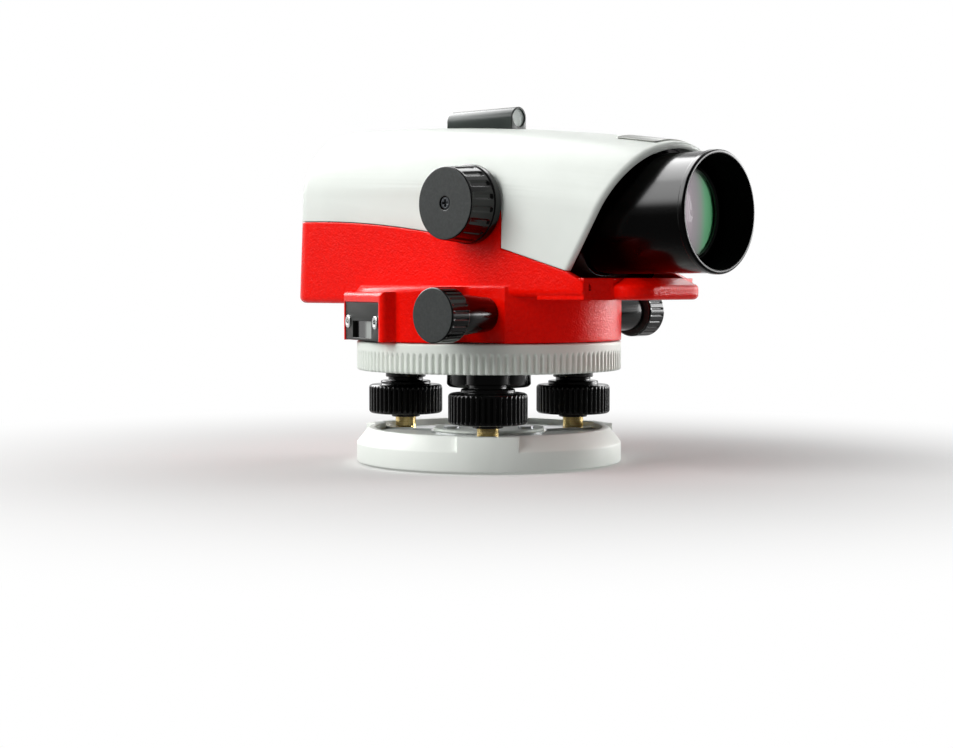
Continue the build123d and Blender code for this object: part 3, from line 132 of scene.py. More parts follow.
def orangePeelEnamel():
    # red stoving enamel on a casting: deep flat colour under a gloss broken up by pebbles 0.8 mm apart
    made, tree, out, place = newMaterial("redStovingEnamel")
    pebbles = add(tree, "ShaderNodeTexVoronoi", {
        "Vector": place, "Scale": 1 / (0.8 * mm), "Smoothness": 0.8}, feature="SMOOTH_F1")
    haze = add(tree, "ShaderNodeTexNoise", {"Vector": place, "Scale": 1 / (0.5 * mm), "Detail": 2.0})
    height = add(tree, "ShaderNodeMath", {
        0: pebbles.outputs["Distance"], 1: haze.outputs["Fac"]}, operation="ADD")
    relief = add(tree, "ShaderNodeBump", {
        "Height": height.outputs[0], "Strength": 1.0, "Distance": 0.085 * mm, "Normal": rounded(tree, 1.0)})
    tint = clouded(tree, place, 1.6, "#F50B01", "#FF1103")
    shader = add(tree, "ShaderNodeBsdfPrincipled", {
        "Base Color": tint, "Roughness": 0.24, "Normal": relief.outputs["Normal"],
        "Specular IOR Level": 0.13})
    connectSurface(tree, out, shader)
    return made


def knobPlastic():
    # acetal knob: polished black sides, and end faces left grey by a finely blasted mould
    made, tree, out, place = newMaterial("blastedFaceKnobPlastic")
    facing = add(tree, "ShaderNodeTexCoord").outputs["Normal"]
    along = add(tree, "ShaderNodeSeparateXYZ", {"Vector": facing}).outputs["Y"]
    flat = add(tree, "ShaderNodeMath", {0: along}, operation="ABSOLUTE")
    mask = add(tree, "ShaderNodeMapRange", {
        "Value": flat.outputs[0], "From Min": 0.93, "From Max": 0.985})
    blast = clouded(tree, place, 0.8, "#222524", "#2C2F2E")
    side = clouded(tree, place, 12, "#020202", "#040404")
    tint = add(tree, "ShaderNodeMix", {
        "Factor": mask.outputs["Result"], "A": side, "B": blast}, data_type="RGBA")
    gloss = add(tree, "ShaderNodeMapRange", {"Value": mask.outputs["Result"], "To Min": 0.16, "To Max": 0.5})
    sand = add(tree, "ShaderNodeTexNoise", {"Vector": place, "Scale": 1 / (0.3 * mm), "Detail": 2.0})
    relief = add(tree, "ShaderNodeBump", {
        "Height": sand.outputs["Fac"], "Strength": 0.14, "Distance": 0.1 * mm})
    shader = add(tree, "ShaderNodeBsdfPrincipled", {
        "Base Color": tint.outputs["Result"], "Roughness": gloss.outputs["Result"],
        "Normal": relief.outputs["Normal"], "Specular IOR Level": 0.4})
    connectSurface(tree, out, shader)
    return made


def hoodEnamel():
    # sunshade tube: smooth black gloss outside, with a dead matt black bore that hides stray light;
    # one turns into the other inside the wall, from 19.7 to 20.2 mm from the tube's axis
    made, tree, out, place = newMaterial("blackHoodEnamel")
    middleOut = (0, 0, -middle("objective_hood").z)
    level = add(tree, "ShaderNodeMapping", {
        "Vector": place, "Location": middleOut, "Scale": (0.0, 1.0, 1.0)})
    reach = add(tree, "ShaderNodeVectorMath", {0: level.outputs["Vector"]}, operation="LENGTH")
    outside = add(tree, "ShaderNodeMapRange", {
        "Value": reach.outputs["Value"], "From Min": 19.7 * mm, "From Max": 20.2 * mm})
    outside = outside.outputs["Result"]
    gloss = add(tree, "ShaderNodeMapRange", {"Value": outside, "To Min": 0.7, "To Max": 0.18})
    shine = add(tree, "ShaderNodeMapRange", {"Value": outside, "To Min": 0.04, "To Max": 0.3})
    shader = add(tree, "ShaderNodeBsdfPrincipled", {
        "Base Color": clouded(tree, place, 22, "#020202", "#040404"), "Roughness": gloss.outputs["Result"],
        "Specular IOR Level": shine.outputs["Result"]})
    connectSurface(tree, out, shader)
    return made


def turnedMetal(name, colour, second, roughness, pitch):
    # turned metal: fine rings one above the other, pitch mm apart, a little uneven in colour
    made, tree, out, place = newMaterial(name)
    split = add(tree, "ShaderNodeSeparateXYZ", {"Vector": place})
    along = add(tree, "ShaderNodeMath", {0: split.outputs["Z"], 1: 1 / (pitch * mm)}, operation="MULTIPLY")
    rings = add(tree, "ShaderNodeTexNoise", {"W": along.outputs[0], "Scale": 1.0, "Detail": 2.0},
                noise_dimensions="1D")
    tint = ramp(tree, rings.outputs["Fac"], [(0.3, colour), (0.75, second)])
    relief = add(tree, "ShaderNodeBump", {
        "Height": rings.outputs["Fac"], "Strength": 0.25, "Distance": 0.04 * mm})
    shader = add(tree, "ShaderNodeBsdfPrincipled", {
        "Base Color": tint, "Metallic": 1.0, "Roughness": roughness, "Normal": relief.outputs["Normal"]})
    connectSurface(tree, out, shader)
    return made


def clearGlass(name, tint, glow, roughness, transmission):
    # glass or clear plastic with faint clouds; with less transmission it is milky
    made, tree, out, place = newMaterial(name)
    shader = add(tree, "ShaderNodeBsdfPrincipled", {
        "Base Color": clouded(tree, place, 40, tint, glow), "Roughness": roughness, "IOR": 1.52,
        "Transmission Weight": transmission})
    connectSurface(tree, out, shader)
    return made


def lensGlassPaintedCoatReflection():
    # lens with an antireflection coat: clear glass under a diffuse layer that is a painted reflection of the
    # coat, lilac on the near side of the axis and green on the far side
    made, tree, out, place = newMaterial("lensGlassPaintedCoatReflection")
    side = add(tree, "ShaderNodeSeparateXYZ", {"Vector": place}).outputs["Y"]
    away = add(tree, "ShaderNodeMapRange", {"Value": side, "From Min": -1 * mm, "From Max": 15.5 * mm})
    # painted reflection of the coat, graded from the near side of the axis to the far side
    paintedCoatReflection = ramp(tree, away.outputs["Result"], [
        (0.0, "#D3C4CE"), (0.3, "#C3BFC2"), (0.46, "#B4C2B8"), (0.66, "#8AD2A2"), (0.88, "#74C48E"),
        (1.0, "#4C9A68")])
    paintedReflectionLayer = add(tree, "ShaderNodeBsdfDiffuse", {"Color": paintedCoatReflection})
    glass = add(tree, "ShaderNodeBsdfPrincipled", {
        "Base Color": clouded(tree, place, 40, "#E6EFEA", "#F0F6F2"), "Roughness": 0.03, "IOR": 1.6,
        "Transmission Weight": 1.0})
    both = add(tree, "ShaderNodeMixShader", {"Fac": 0.84, 1: glass.outputs[0], 2: paintedReflectionLayer.outputs[0]})
    connectSurface(tree, out, both)
    return made


def paneWithPaintedShadeAndGlare():
    # acrylic reading window over a prism, with painted light across the pane's width: dark painted shade on
    # the left, from the opening's wall, and a light grey painted reflection on the right, both also given a
    # faint painted glow
    made, tree, out, place = newMaterial("paneAcrylicPaintedShadeAndGlare")
    side = add(tree, "ShaderNodeVectorMath", {0: place, 1: windowSide}, operation="DOT_PRODUCT")
    across = add(tree, "ShaderNodeMapRange", {
        "Value": side.outputs["Value"], "From Min": -9.4 * mm, "From Max": 9.4 * mm})
    # painted shade on the left and a painted reflection on the right
    tint = ramp(tree, across.outputs["Result"], [
        (0.0, "#060606"), (0.4, "#0B0C0B"), (0.5, "#2E302E"), (0.62, "#7E837F"), (1.0, "#8A8E8B")])
    shader = add(tree, "ShaderNodeBsdfPrincipled", {
        "Base Color": tint, "Roughness": 0.12, "Emission Color": tint, "Emission Strength": 0.35})
    connectSurface(tree, out, shader)
    return made


def graduatedWhite():
    # white enamel on the divided circle, with a black line at each degree and a longer one at each fifth;
    # the short lines end 49.6 mm above the ground
    made, tree, out, place = newMaterial("graduatedWhiteEnamel")
    split = add(tree, "ShaderNodeSeparateXYZ", {"Vector": place})
    angle = add(tree, "ShaderNodeMath", {
        0: split.outputs["Y"], 1: split.outputs["X"]}, operation="ARCTAN2")
    lines = {}
    for every, width in ((1, 0.12), (5, 0.03)):  # degrees from line to line, and the inked part of that
        steps = add(tree, "ShaderNodeMath", {
            0: angle.outputs[0], 1: 180 / math.pi / every}, operation="MULTIPLY")
        part = add(tree, "ShaderNodeMath", {0: steps.outputs[0], 1: 1.0}, operation="FLOORED_MODULO")
        lines[every] = add(tree, "ShaderNodeMath", {0: part.outputs[0], 1: width}, operation="LESS_THAN")
    low = add(tree, "ShaderNodeMath", {0: split.outputs["Z"], 1: 49.6 * mm}, operation="LESS_THAN")
    short = add(tree, "ShaderNodeMath", {0: lines[1].outputs[0], 1: low.outputs[0]}, operation="MULTIPLY")
    line = add(tree, "ShaderNodeMath", {0: short.outputs[0], 1: lines[5].outputs[0]}, operation="MAXIMUM")
    tint = ramp(tree, line.outputs[0], [(0.0, "#E4E5DF"), (1.0, "#15181A")])
    shader = add(tree, "ShaderNodeBsdfPrincipled", {"Base Color": tint, "Roughness": 0.45})
    connectSurface(tree, out, shader)
    return made


# one finish for each material slot; after the tints, coated() takes roughness, grain and bump, turnedMetal()
# roughness and pitch, and clearGlass() roughness and transmission
finishes = {
    "red_enamel": orangePeelEnamel(),
    "white_cover": coated("satinWhiteCover", "#EBF0EA", "#EFF4EE", 0.42, 0.35, 0.04, specular=0.2, edge=0.8),
    "grey_enamel": coated("greyBaseEnamel", "#E8EEE6", "#ECF2EA", 0.45, 0.4, 0.1, specular=0.4, edge=0.8),
    "black_plastic": coated("blackMouldedPlastic", "#020202", "#030303", 0.18, 0.3, 0.05, specular=0.4),
    "black_enamel": coated("blackGlossEnamel", "#030303", "#050505", 0.2, 0.35, 0.03, specular=0.4),
    "dark_plate": coated("darkAnodisedPlate", "#191B18", "#1F211E", 0.4, 0.25, 0.1, specular=0.2),
    "dark_screw": coated("blackenedScrew", "#1B1C1E", "#26282A", 0.35, 0.3, 0.1, metallic=0.8),
    "white_nylon": coated("whiteNylon", "#DADAD4", "#E2E2DC", 0.5, 0.4, 0.08),
    "inner_alloy": coated("blackAnodisedTube", "#050505", "#080808", 0.45, 0.3, 0.1, specular=0.3),
    "turned_brass": turnedMetal("turnedBrass", "#CDB06C", "#E6CF98", 0.18, 0.25),
    "bright_steel": turnedMetal("machinedSteel", "#A9ABAD", "#C6C8CA", 0.28, 0.2),
    "spring_steel": turnedMetal("polishedSpringSteel", "#C9CBCC", "#DADCDD", 0.14, 0.5),
    "dial_white": graduatedWhite(),
    "optical_glass": clearGlass("clearOpticalGlass", "#E6EFEA", "#F0F6F2", 0.03, 1.0),
    "vial_glass": clearGlass("levelVialGlass", "#D8EE8E", "#E2F2A6", 0.03, 0.9),
    "frosted_glass": clearGlass("frostedSightGlass", "#A9B3AE", "#B6C0BB", 0.4, 0.25),
}
# finishes of single pieces
hoodFinish = hoodEnamel()
# the front lens's finish carries a painted reflection of its coat
lensPaintedReflectionFinish = lensGlassPaintedCoatReflection()
# the reading pane's finish is painted shade and a painted reflection with a faint painted glow
panePaintedShadeAndGlareFinish = paneWithPaintedShadeAndGlare()
knobFinish = knobPlastic()
# the base's copy of the grey enamel is painted lighter, as painted light, because the floor's shade darkens
# the base
baseEnamelPaintedLight = coated("greyBaseEnamelPaintedLighter", "#F4F9F2", "#F7FBF5", 0.45, 0.4, 0.1, specular=0.4, edge=0.8)
sightFinish = coated("greyGreenSightPlastic", "#2B302E", "#333936", 0.34, 0.3, 0.1, specular=0.3)
silverScrew = coated("nickelPlatedScrew", "#C9CCCB", "#D6D9D7", 0.22, 0.3, 0.05, metallic=1.0)
grayScrew = coated("phosphatedScrew", "#33363A", "#3D4043", 0.4, 0.3, 0.05, metallic=0.5)
labelFinish = coated("satinFoilLabel", "#62655F", "#6C6F68", 0.3, 0.25, 0.05, metallic=0.3)
print("materials made:", len(bpy.data.materials))


def placed(piece, body, slot, instead=(), finish=None):  # its finish, the slot's unless one is given, its body, and the CAD nodes it stands for, which are hidden
    piece.data.materials.clear()
    piece.data.materials.append(finish or finishes[slot])
    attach(piece, body)
    if instead:
        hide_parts(*instead)
    return piece


def surfaceFromGrid(name, grid, smooth=38):
    # grid[i, j] is a point; neighbours along i and j make quads, and both rows and columns close round;
    # edges sharper than smooth, in degrees, stay sharp
    rows, columns = grid.shape[:2]
    a, b = np.meshgrid(np.arange(rows), np.arange(columns), indexing="ij")
    right = (b + 1) % columns
    above = (a + 1) % rows
    quads = np.stack([a * columns + b, a * columns + right, above * columns + right, above * columns + b], -1)
    mesh = bpy.data.meshes.new(name)
    mesh.from_pydata(grid.reshape(-1, 3).tolist(), [], quads.reshape(-1, 4).tolist())
    mesh.validate()
    body = bmesh.new()
    body.from_mesh(mesh)
    bmesh.ops.remove_doubles(body, verts=body.verts, dist=1e-6)
    bmesh.ops.recalc_face_normals(body, faces=body.faces)
    body.to_mesh(mesh)
    body.free()
    mesh.shade_smooth()
    mesh.set_sharp_from_angle(angle=math.radians(smooth))
    made = bpy.data.objects.new(name, mesh)
    scene.collection.objects.link(made)
    return made


def roundedLoop(corners, steps=5):
    # corners are (radius, height, rounding) in mm; each corner becomes an arc tangent to its two sides
    points = []
    count = len(corners)
    for k in range(count):
        here = np.array(corners[k][:2], float)
        toLast = np.array(corners[k - 1][:2], float) - here
        toNext = np.array(corners[(k + 1) % count][:2], float) - here
        size = corners[k][2]
        if size <= 0:
            points.append(here)
            continue
        u = toLast / np.linalg.norm(toLast)
        v = toNext / np.linalg.norm(toNext)
        half = math.acos(np.clip(u @ v, -1, 1)) / 2
        reach = size / math.tan(half)
        start, end = here + u * reach, here + v * reach
        t = np.linspace(0, 1, steps)[:, None]
        centre = here + (u + v) / np.linalg.norm(u + v) * size / math.sin(half)
        chord = start + (end - start) * t - centre
        points.extend(centre + chord / np.linalg.norm(chord, axis=1)[:, None] * size)
    return np.array(points)


def denser(loop, longest):
    # extra points along the straight runs of a closed loop, so that ribs can end softly
    ends = np.roll(loop, -1, axis=0)
    pieces = []
    for start, end in zip(loop, ends):
        parts = max(1, int(np.ceil(np.linalg.norm(end - start) / longest)))
        pieces.append(start + (end - start) * np.linspace(0, 1, parts, endpoint=False)[:, None])
    return np.concatenate(pieces)


def turned(name, loop, origin, axis, across, count, relief=None):
    # a closed profile of (radius, height) carried round an axis in count steps, from the across direction on;
    # relief(angle, radius, height) is taken off the radius
    third = np.cross(axis, across)
    angle = np.linspace(0, 2 * math.pi, count, endpoint=False)[None, :]
    radius = np.repeat(loop[:, :1], count, axis=1)
    height = np.repeat(loop[:, 1:2], count, axis=1)
    if relief:
        radius = radius - relief(angle, radius, height)
    grid = (np.array(origin) + (radius * np.cos(angle))[..., None] * np.array(across)
            + (radius * np.sin(angle))[..., None] * third + height[..., None] * np.array(axis))
    return surfaceFromGrid(name, grid * mm)


def fade(value, low, high):  # smooth step from 0 to 1
    t = np.clip((value - low) / (high - low), 0, 1)
    return t * t * (3 - 2 * t)


def softened(node, body, slot, width, finish=None):
    # a merged copy of a CAD node whose sharp edges get a small rounding that catches the light
    made = nodes[node].copy()
    made.data = nodes[node].data.copy()
    made.name = node + "_soft"
    scene.collection.objects.link(made)
    merged = bmesh.new()
    merged.from_mesh(made.data)
    bmesh.ops.remove_doubles(merged, verts=merged.verts, dist=2e-6)
    bmesh.ops.dissolve_limit(merged, angle_limit=math.radians(0.6), verts=merged.verts, edges=merged.edges)
    merged.to_mesh(made.data)
    merged.free()
    made.data.shade_smooth()
    bevel = made.modifiers.new("edgeRounding", "BEVEL")
    bevel.width = width * mm
    bevel.segments = 3
    bevel.limit_method = "ANGLE"
    bevel.angle_limit = math.radians(30)
    bevel.harden_normals = True
    bevel.use_clamp_overlap = True
    return placed(made, body, slot, (node,), finish)


up = (0, 0, 1)
north = (1, 0, 0)
outNear = (0, -1, 0)

# lengths in mm, with heights above the ground; sleeve, step and collar are (radius, end)
footKnob = {"ribs": 43, "depth": 0.75, "radius": 14.3, "bottom": 17.1, "top": 28.3, "bore": 4.05,
            "sleeve": (5.5, 15.7), "step": (9.75, 29.8), "collar": (6.8, 33.2), "around": 516}


def footscrewKnob(index):
    centre = middle(f"footscrew_knob_{index}") / mm
    k = footKnob
    sleeve, foot = k["sleeve"]
    step, stepTop = k["step"]
    collar, collarTop = k["collar"]
    loop = roundedLoop([
        (k["bore"], foot, 0), (sleeve, foot, 0.2), (sleeve, k["bottom"], 0.3),
        (k["radius"], k["bottom"], 1.3), (k["radius"], k["top"], 1.3), (step, k["top"], 0.4),
        (step, stepTop, 0.5), (collar, stepTop, 0.3), (collar, collarTop, 0.2), (k["bore"], collarTop, 0)])
    loop = denser(loop, 0.45)

    def ribs(angle, radius, height):
        wave = (0.5 + 0.5 * np.cos(k["ribs"] * angle)) ** 2.2
        lower = fade(height, k["bottom"] + 0.3, k["bottom"] + 1.6)
        upper = 1 - fade(height, k["top"] - 1.6, k["top"] - 0.3)
        return k["depth"] * wave * lower * upper * fade(radius, k["radius"] - 1.6, k["radius"] - 0.4)

    origin = (centre.x, centre.y, 0)
    knob = turned(f"footscrew_knob_{index}_ribbed", loop, origin, up, north, k["around"], ribs)
    return placed(knob, f"footscrew_{index}", "black_plastic", (f"footscrew_knob_{index}",))


for index in (1, 2, 3):
    footscrewKnob(index)
print("footscrews done")

# lengths in mm; the rim stands on a web that reaches in to the bore
ring = {"teeth": 120, "depth": 0.85, "radius": 49.9, "inside": 47.3, "bore": 12.06, "bottom": 35.2,
        "top": 46.1, "toothTop": 42.2, "webBottom": 42.2, "webTop": 44.2, "around": 1440}


def acrossTooth(count, angle):  # 0 in the middle of each groove and 1 halfway between two
    return np.abs((count * angle / (2 * math.pi)) % 1.0 - 0.5) * 2


def knurledRing():
    k = ring
    loop = roundedLoop([
        (k["inside"], k["bottom"], 0.3), (k["radius"], k["bottom"], 0.7), (k["radius"], k["top"], 0.7),
        (k["inside"], k["top"], 0.3), (k["inside"], k["webTop"], 0), (k["bore"], k["webTop"], 0),
        (k["bore"], k["webBottom"], 0), (k["inside"], k["webBottom"], 0)], 4)
    loop = denser(loop, 0.7)
    # the flat web needs only a few of the extra points, one or two every 4 mm
    keep = (loop[:, 0] > k["inside"] - 0.3) | (np.abs((loop[:, 0] - k["bore"]) % 4.0) < 0.8)
    loop = loop[keep]

    def teeth(angle, radius, height):
        across = acrossTooth(k["teeth"], angle)
        end = k["toothTop"] - 1.68 * across ** 2  # the groove's upper end is round
        groove = (1 - fade(across, 0.18, 0.62)) * (1 - fade(height, end - 0.5, end + 0.3))
        return k["depth"] * groove * fade(radius, k["radius"] - 1.7, k["radius"] - 0.7)

    made = turned("circle_ring_knurled", loop, (0, 0, 0), up, north, k["around"], teeth)
    return placed(made, "circle", "grey_enamel", ("circle_ring",))


knurledRing()
print("ring done")

# lengths in mm, with back and face counted out from the middle plane; the screw sits in the bore's wide end
focusKnob = {"flutes": 18, "depth": 0.55, "face": 46.0, "back": 32.0, "faceRadius": 12.9, "bodyRadius": 13.8,
             "flange": 14.25, "flangeWidth": 3, "bore": 2.05, "seat": 2.2, "mouth": 2.4, "sunk": 3.2,
             "around": 648}


def flutedFocusKnob():
    k = focusKnob
    centre = middle("focus_knob") / mm
    floor = k["face"] - k["sunk"]
    step = k["back"] + k["flangeWidth"]
    loop = roundedLoop([
        (k["bore"], k["back"], 0), (k["flange"], k["back"], 0.5), (k["flange"], step, 0.7),
        (k["bodyRadius"], step + 0.3, 0.2), (k["faceRadius"], k["face"], 0.4), (k["mouth"], k["face"], 0.25),
        (k["seat"], floor, 0.1), (k["bore"], floor, 0)])
    loop = denser(loop, 0.5)

    def flutes(angle, radius, height):
        across = acrossTooth(k["flutes"], angle)
        shrink = 1.4 * across ** 2  # both ends of a flute are round
        start = fade(height, k["back"] + 3.7 + shrink, k["back"] + 4.5 + shrink)
        end = 1 - fade(height, k["face"] - 1.5 - shrink, k["face"] - 0.7 - shrink)
        outside = fade(radius, k["faceRadius"] - 1.6, k["faceRadius"] - 0.5)
        return k["depth"] * (1 - fade(across, 0.2, 0.62)) * start * end * outside

    origin = (centre.x, 0, centre.z)
    knob = turned("focus_knob_fluted", loop, origin, outNear, north, k["around"], flutes)
    return placed(knob, "focus", "black_plastic", ("focus_knob",), knobFinish)


flutedFocusKnob()

driveKnob = {"ribs": 24, "depth": 0.28, "radius": 9.6, "back": 50.5, "face": 59.7, "bore": 2.55,
             "around": 480}


def ribbedDriveKnob(node, side):  # side is -1 near the viewer and 1 on the far side
    k = driveKnob
    centre = middle(node) / mm
    loop = roundedLoop([
        (k["bore"], k["back"], 0), (k["radius"], k["back"], 0.7), (k["radius"], k["face"], 0.4),
        (0.05, k["face"], 0), (0.05, k["face"] - 1.0, 0), (k["bore"], k["face"] - 1.1, 0)])
    loop = denser(loop, 0.45)

    def ribs(angle, radius, height):
        groove = 1 - fade(acrossTooth(k["ribs"], angle), 0.1, 0.42)
        start = fade(height, k["back"] + 0.5, k["back"] + 1.6)
        end = 1 - fade(height, k["face"] - 1.7, k["face"] - 0.9)
        return k["depth"] * groove * start * end * fade(radius, k["radius"] - 1.1, k["radius"] - 0.5)

    origin = (centre.x, 0, centre.z)
    knob = turned(node + "_ribbed", loop, origin, (0, side, 0), north, k["around"], ribs)
    return placed(knob, "drive", "black_plastic", (node,), knobFinish)


ribbedDriveKnob("drive_knob_near", -1)
ribbedDriveKnob("drive_knob_far", 1)
print("knobs done")

# front, rear and groovesFrom are places along the telescope; fine grooves in the bore stop stray light
hood = {"front": 105.9, "rear": 56.0, "barrel": 20.7, "rim": 21.13, "rimWidth": 2.2, "bore": 19.4,
        "groovesFrom": 94, "groovePitch": 1.1, "grooveHeight": 0.22, "around": 256}


def objectiveHood():
    k = hood
    z = middle("objective_hood").z / mm
    step = k["front"] - k["rimWidth"]
    loop = roundedLoop([
        (k["bore"], k["rear"], 0), (k["barrel"], k["rear"], 0.3), (k["barrel"], step - 0.4, 0.3),
        (k["rim"], step, 0.3), (k["rim"], k["front"], 0.7), (k["bore"] + 0.1, k["front"], 0.5),
        (k["bore"] + 0.1, k["front"] - 1.6, 0.2), (k["bore"], k["front"] - 1.9, 0.1)])
    loop = denser(loop, 0.35)

    def grooves(angle, radius, height):
        inside = (radius < k["bore"] + 0.05) & (height > k["groovesFrom"]) & (height < step)
        wave = 0.5 + 0.5 * np.cos((height - k["groovesFrom"]) * 2 * math.pi / k["groovePitch"])
        return -k["grooveHeight"] * wave * inside + 0 * angle

    made = turned("objective_hood_turned", loop, (0, 0, z), north, (0, 1, 0), k["around"], grooves)
    return placed(made, "alidade", "black_enamel", ("objective_hood",), hoodFinish)


objectiveHood()
print("hood done")

# seat is how far out the screws' plate lies from the level's axis, along windowOut
windowScrew = {"aside": 13.8, "height": 53.3, "seat": 51.4, "radius": 2.4, "socket": 1.1, "buried": 0.4}


def windowScrews():
    # two pan heads with a socket, in one piece
    k = windowScrew
    seat, foot = k["seat"], k["seat"] - k["buried"]
    loop = roundedLoop([
        (0.02, foot, 0), (k["radius"], foot, 0), (k["radius"], seat + 0.55, 0.25),
        (k["socket"] + 0.3, seat + 0.6, 0.1), (k["socket"], seat + 0.5, 0.08), (k["socket"], seat, 0.05),
        (0.02, seat - 0.05, 0)])
    both = bmesh.new()
    for aside in (-k["aside"], k["aside"]):
        origin = (aside * windowSide[0], aside * windowSide[1], k["height"])
        head = turned("window_screw_head", loop, origin, windowOut, up, 48)
        both.from_mesh(head.data)
        bpy.data.objects.remove(head)
    mesh = bpy.data.meshes.new("window_screw_heads")
    both.to_mesh(mesh)
    both.free()
    mesh.set_sharp_from_angle(angle=math.radians(38))
    made = bpy.data.objects.new("window_screw_heads", mesh)
    scene.collection.objects.link(made)
    return placed(made, "alidade", "bright_steel", ("window_screws",), silverScrew)


windowScrews()

# front is how far out the pane's face lies from the level's axis, along windowOut
windowPane = {"half": 9.35, "low": 47.55, "high": 53.65, "front": 50.2, "thick": 1.2}


def raisedPane():
    # the reading window's pane, brought up close behind the plate as it looks from outside
    k = windowPane
    made = bpy.data.objects.new("window_pane_raised", bpy.data.meshes.new("window_pane_raised"))
    block = bmesh.new()
    bmesh.ops.create_cube(block, size=mm)
    bmesh.ops.scale(block, verts=block.verts, vec=(2 * k["half"], k["thick"], k["high"] - k["low"]))
    out = k["front"] - k["thick"] / 2
    centre = Vector((out * windowOut[0], out * windowOut[1], (k["low"] + k["high"]) / 2)) * mm
    block.transform(Matrix.Translation(centre) @ Matrix.Rotation(windowTurn, 4, "Z"))
    block.to_mesh(made.data)
    block.free()
    scene.collection.objects.link(made)
    return placed(made, "alidade", "optical_glass", ("window_pane",), panePaintedShadeAndGlareFinish)


raisedPane()

# top and under are counted out from the middle plane; arm is half the width of the cross and reach its length
focusScrew = {"radius": 2.1, "top": 45.75, "under": 44.4, "chamfer": 0.2, "recess": 0.8, "arm": 0.38,
              "reach": 1.4, "rings": 24, "around": 120}


def crossHeadScrew():
    # screw in the middle of the focus knob, with a cross recess sunk into its head
    k = focusScrew
    centre = middle("focus_knob")
    flat = np.linspace(0.02, k["radius"] - k["chamfer"], k["rings"])
    radius = np.concatenate([flat, [k["radius"], k["radius"], 0.02]])[:, None]
    level = np.array([k["top"]] * k["rings"] + [k["top"] - k["chamfer"], k["under"], k["under"]])[:, None]
    angle = np.linspace(0, 2 * math.pi, k["around"], endpoint=False)[None, :]
    u, v = radius * np.cos(angle), radius * np.sin(angle)
    sunk = (np.minimum(np.abs(u), np.abs(v)) < k["arm"]) & (radius < k["reach"]) & (level == k["top"])
    height = level - k["recess"] * sunk
    grid = np.stack([centre.x + v * mm, -height * mm, centre.z + u * mm], axis=-1)
    made = surfaceFromGrid("focus_screw_head", grid, smooth=30)
    return placed(made, "focus", "dark_screw", ("focus_screw",), grayScrew)


crossHeadScrew()
print("screws and pane done")

# the slanted end of the casting's wall runs from corner to root, in mm ahead of and beside the level's axis;
# what stands proud of it past fromX and fromSide is dressed off
castingFront = {"corner": (72.0, 31.0), "root": (76.0, 20.0), "fromX": 72.02, "fromSide": 20.5, "least": 0.01}


def trimmedCasting():
    # the casting with its two front corners dressed flush with the slanted end of the wall; its triangles
    # stay loose, because merged ones streak the shading of the long curved walls
    k = castingFront
    corner, root = np.array(k["corner"]) * mm, np.array(k["root"]) * mm
    along = (root - corner) / np.linalg.norm(root - corner)
    outward = np.array([-along[1], along[0]])
    made = nodes["main_casting"].copy()
    made.data = mesh = nodes["main_casting"].data.copy()
    made.name = "main_casting_trimmed"
    scene.collection.objects.link(made)
    places = np.empty(3 * len(mesh.vertices))
    mesh.vertices.foreach_get("co", places)
    places = places.reshape(-1, 3)
    side = np.stack([places[:, 0], np.abs(places[:, 1])], axis=-1)
    proud = (side - corner) @ outward
    near = (side[:, 0] > k["fromX"] * mm) & (side[:, 1] > k["fromSide"] * mm) & (proud > k["least"] * mm)
    moved = side - np.where(near, proud, 0)[:, None] * outward
    places[:, 0] = moved[:, 0]
    places[:, 1] = moved[:, 1] * np.sign(places[:, 1])
    mesh.vertices.foreach_set("co", places.ravel())
    mesh.shade_smooth()
    mesh.set_sharp_from_angle(angle=math.radians(30))
    print("casting corners trimmed:", int(near.sum()), "vertices")
    return placed(made, "alidade", "red_enamel", ("main_casting",))


trimmedCasting()

# CAD nodes with their body, slot and rounding in mm, and a finish of their own where they have one
softenedNodes = {
    "top_cover": ("alidade", "white_cover", 0.5),
    "base_plate": ("base", "grey_enamel", 0.6, baseEnamelPaintedLight),
    "clamp_disc": ("base", "grey_enamel", 0.25),
    "tribrach": ("tribrach", "black_enamel", 0.4),
    "sight_housing": ("alidade", "black_plastic", 0.3, sightFinish),
    "window_plate": ("alidade", "dark_plate", 0.2),
    "front_bezel": ("alidade", "black_enamel", 0.3),
    "level_hood": ("alidade", "black_plastic", 0.3),
    "level_housing": ("alidade", "black_plastic", 0.3),
    "dioptre_ring": ("dioptre", "black_plastic", 0.2),
    "rear_bezel": ("alidade", "black_enamel", 0.3),
    "drive_bushings": ("alidade", "black_plastic", 0.3),
    "name_plate": ("alidade", "dark_plate", 0.1, labelFinish),
}
for node, choices in softenedNodes.items():
    softened(node, *choices)
print("CAD nodes softened:", len(softenedNodes))

# every CAD node that still shows takes its slot's finish
for part in frame["record"]["subparts"]:
    piece = nodes[part["node"]]
    piece.data.materials.clear()
    piece.data.materials.append(finishes[part["material_slot"]])
    piece.data.shade_smooth()
    piece.data.set_sharp_from_angle(angle=math.radians(30))
nodes["crown_lens"].data.materials[0] = lensPaintedReflectionFinish
print("CAD nodes dressed")


def direction(azimuth, elevation):  # azimuth from -Y towards +X, both in degrees
    a, e = math.radians(azimuth), math.radians(elevation)
    return (math.sin(a) * math.cos(e), -math.cos(a) * math.cos(e), math.sin(e))


# away is the azimuth straight behind the level, edge the two angles from it where the pale half of the room
# turns into the dim front; the others are brightnesses, seenBehind for mirrors and behind for matt surfaces
room = {"away": 222.5, "edge": (70, 110), "front": 0.08, "behind": 0.5, "seenBehind": 0.85, "floorGlow": 0.45}
# in metres: the paper's half width, the ring where it turns into plain white, and the strip where gloss dims
paper = {"half": 4, "whiteFrom": 0.08, "whiteTo": 0.3, "dim": 0.08}


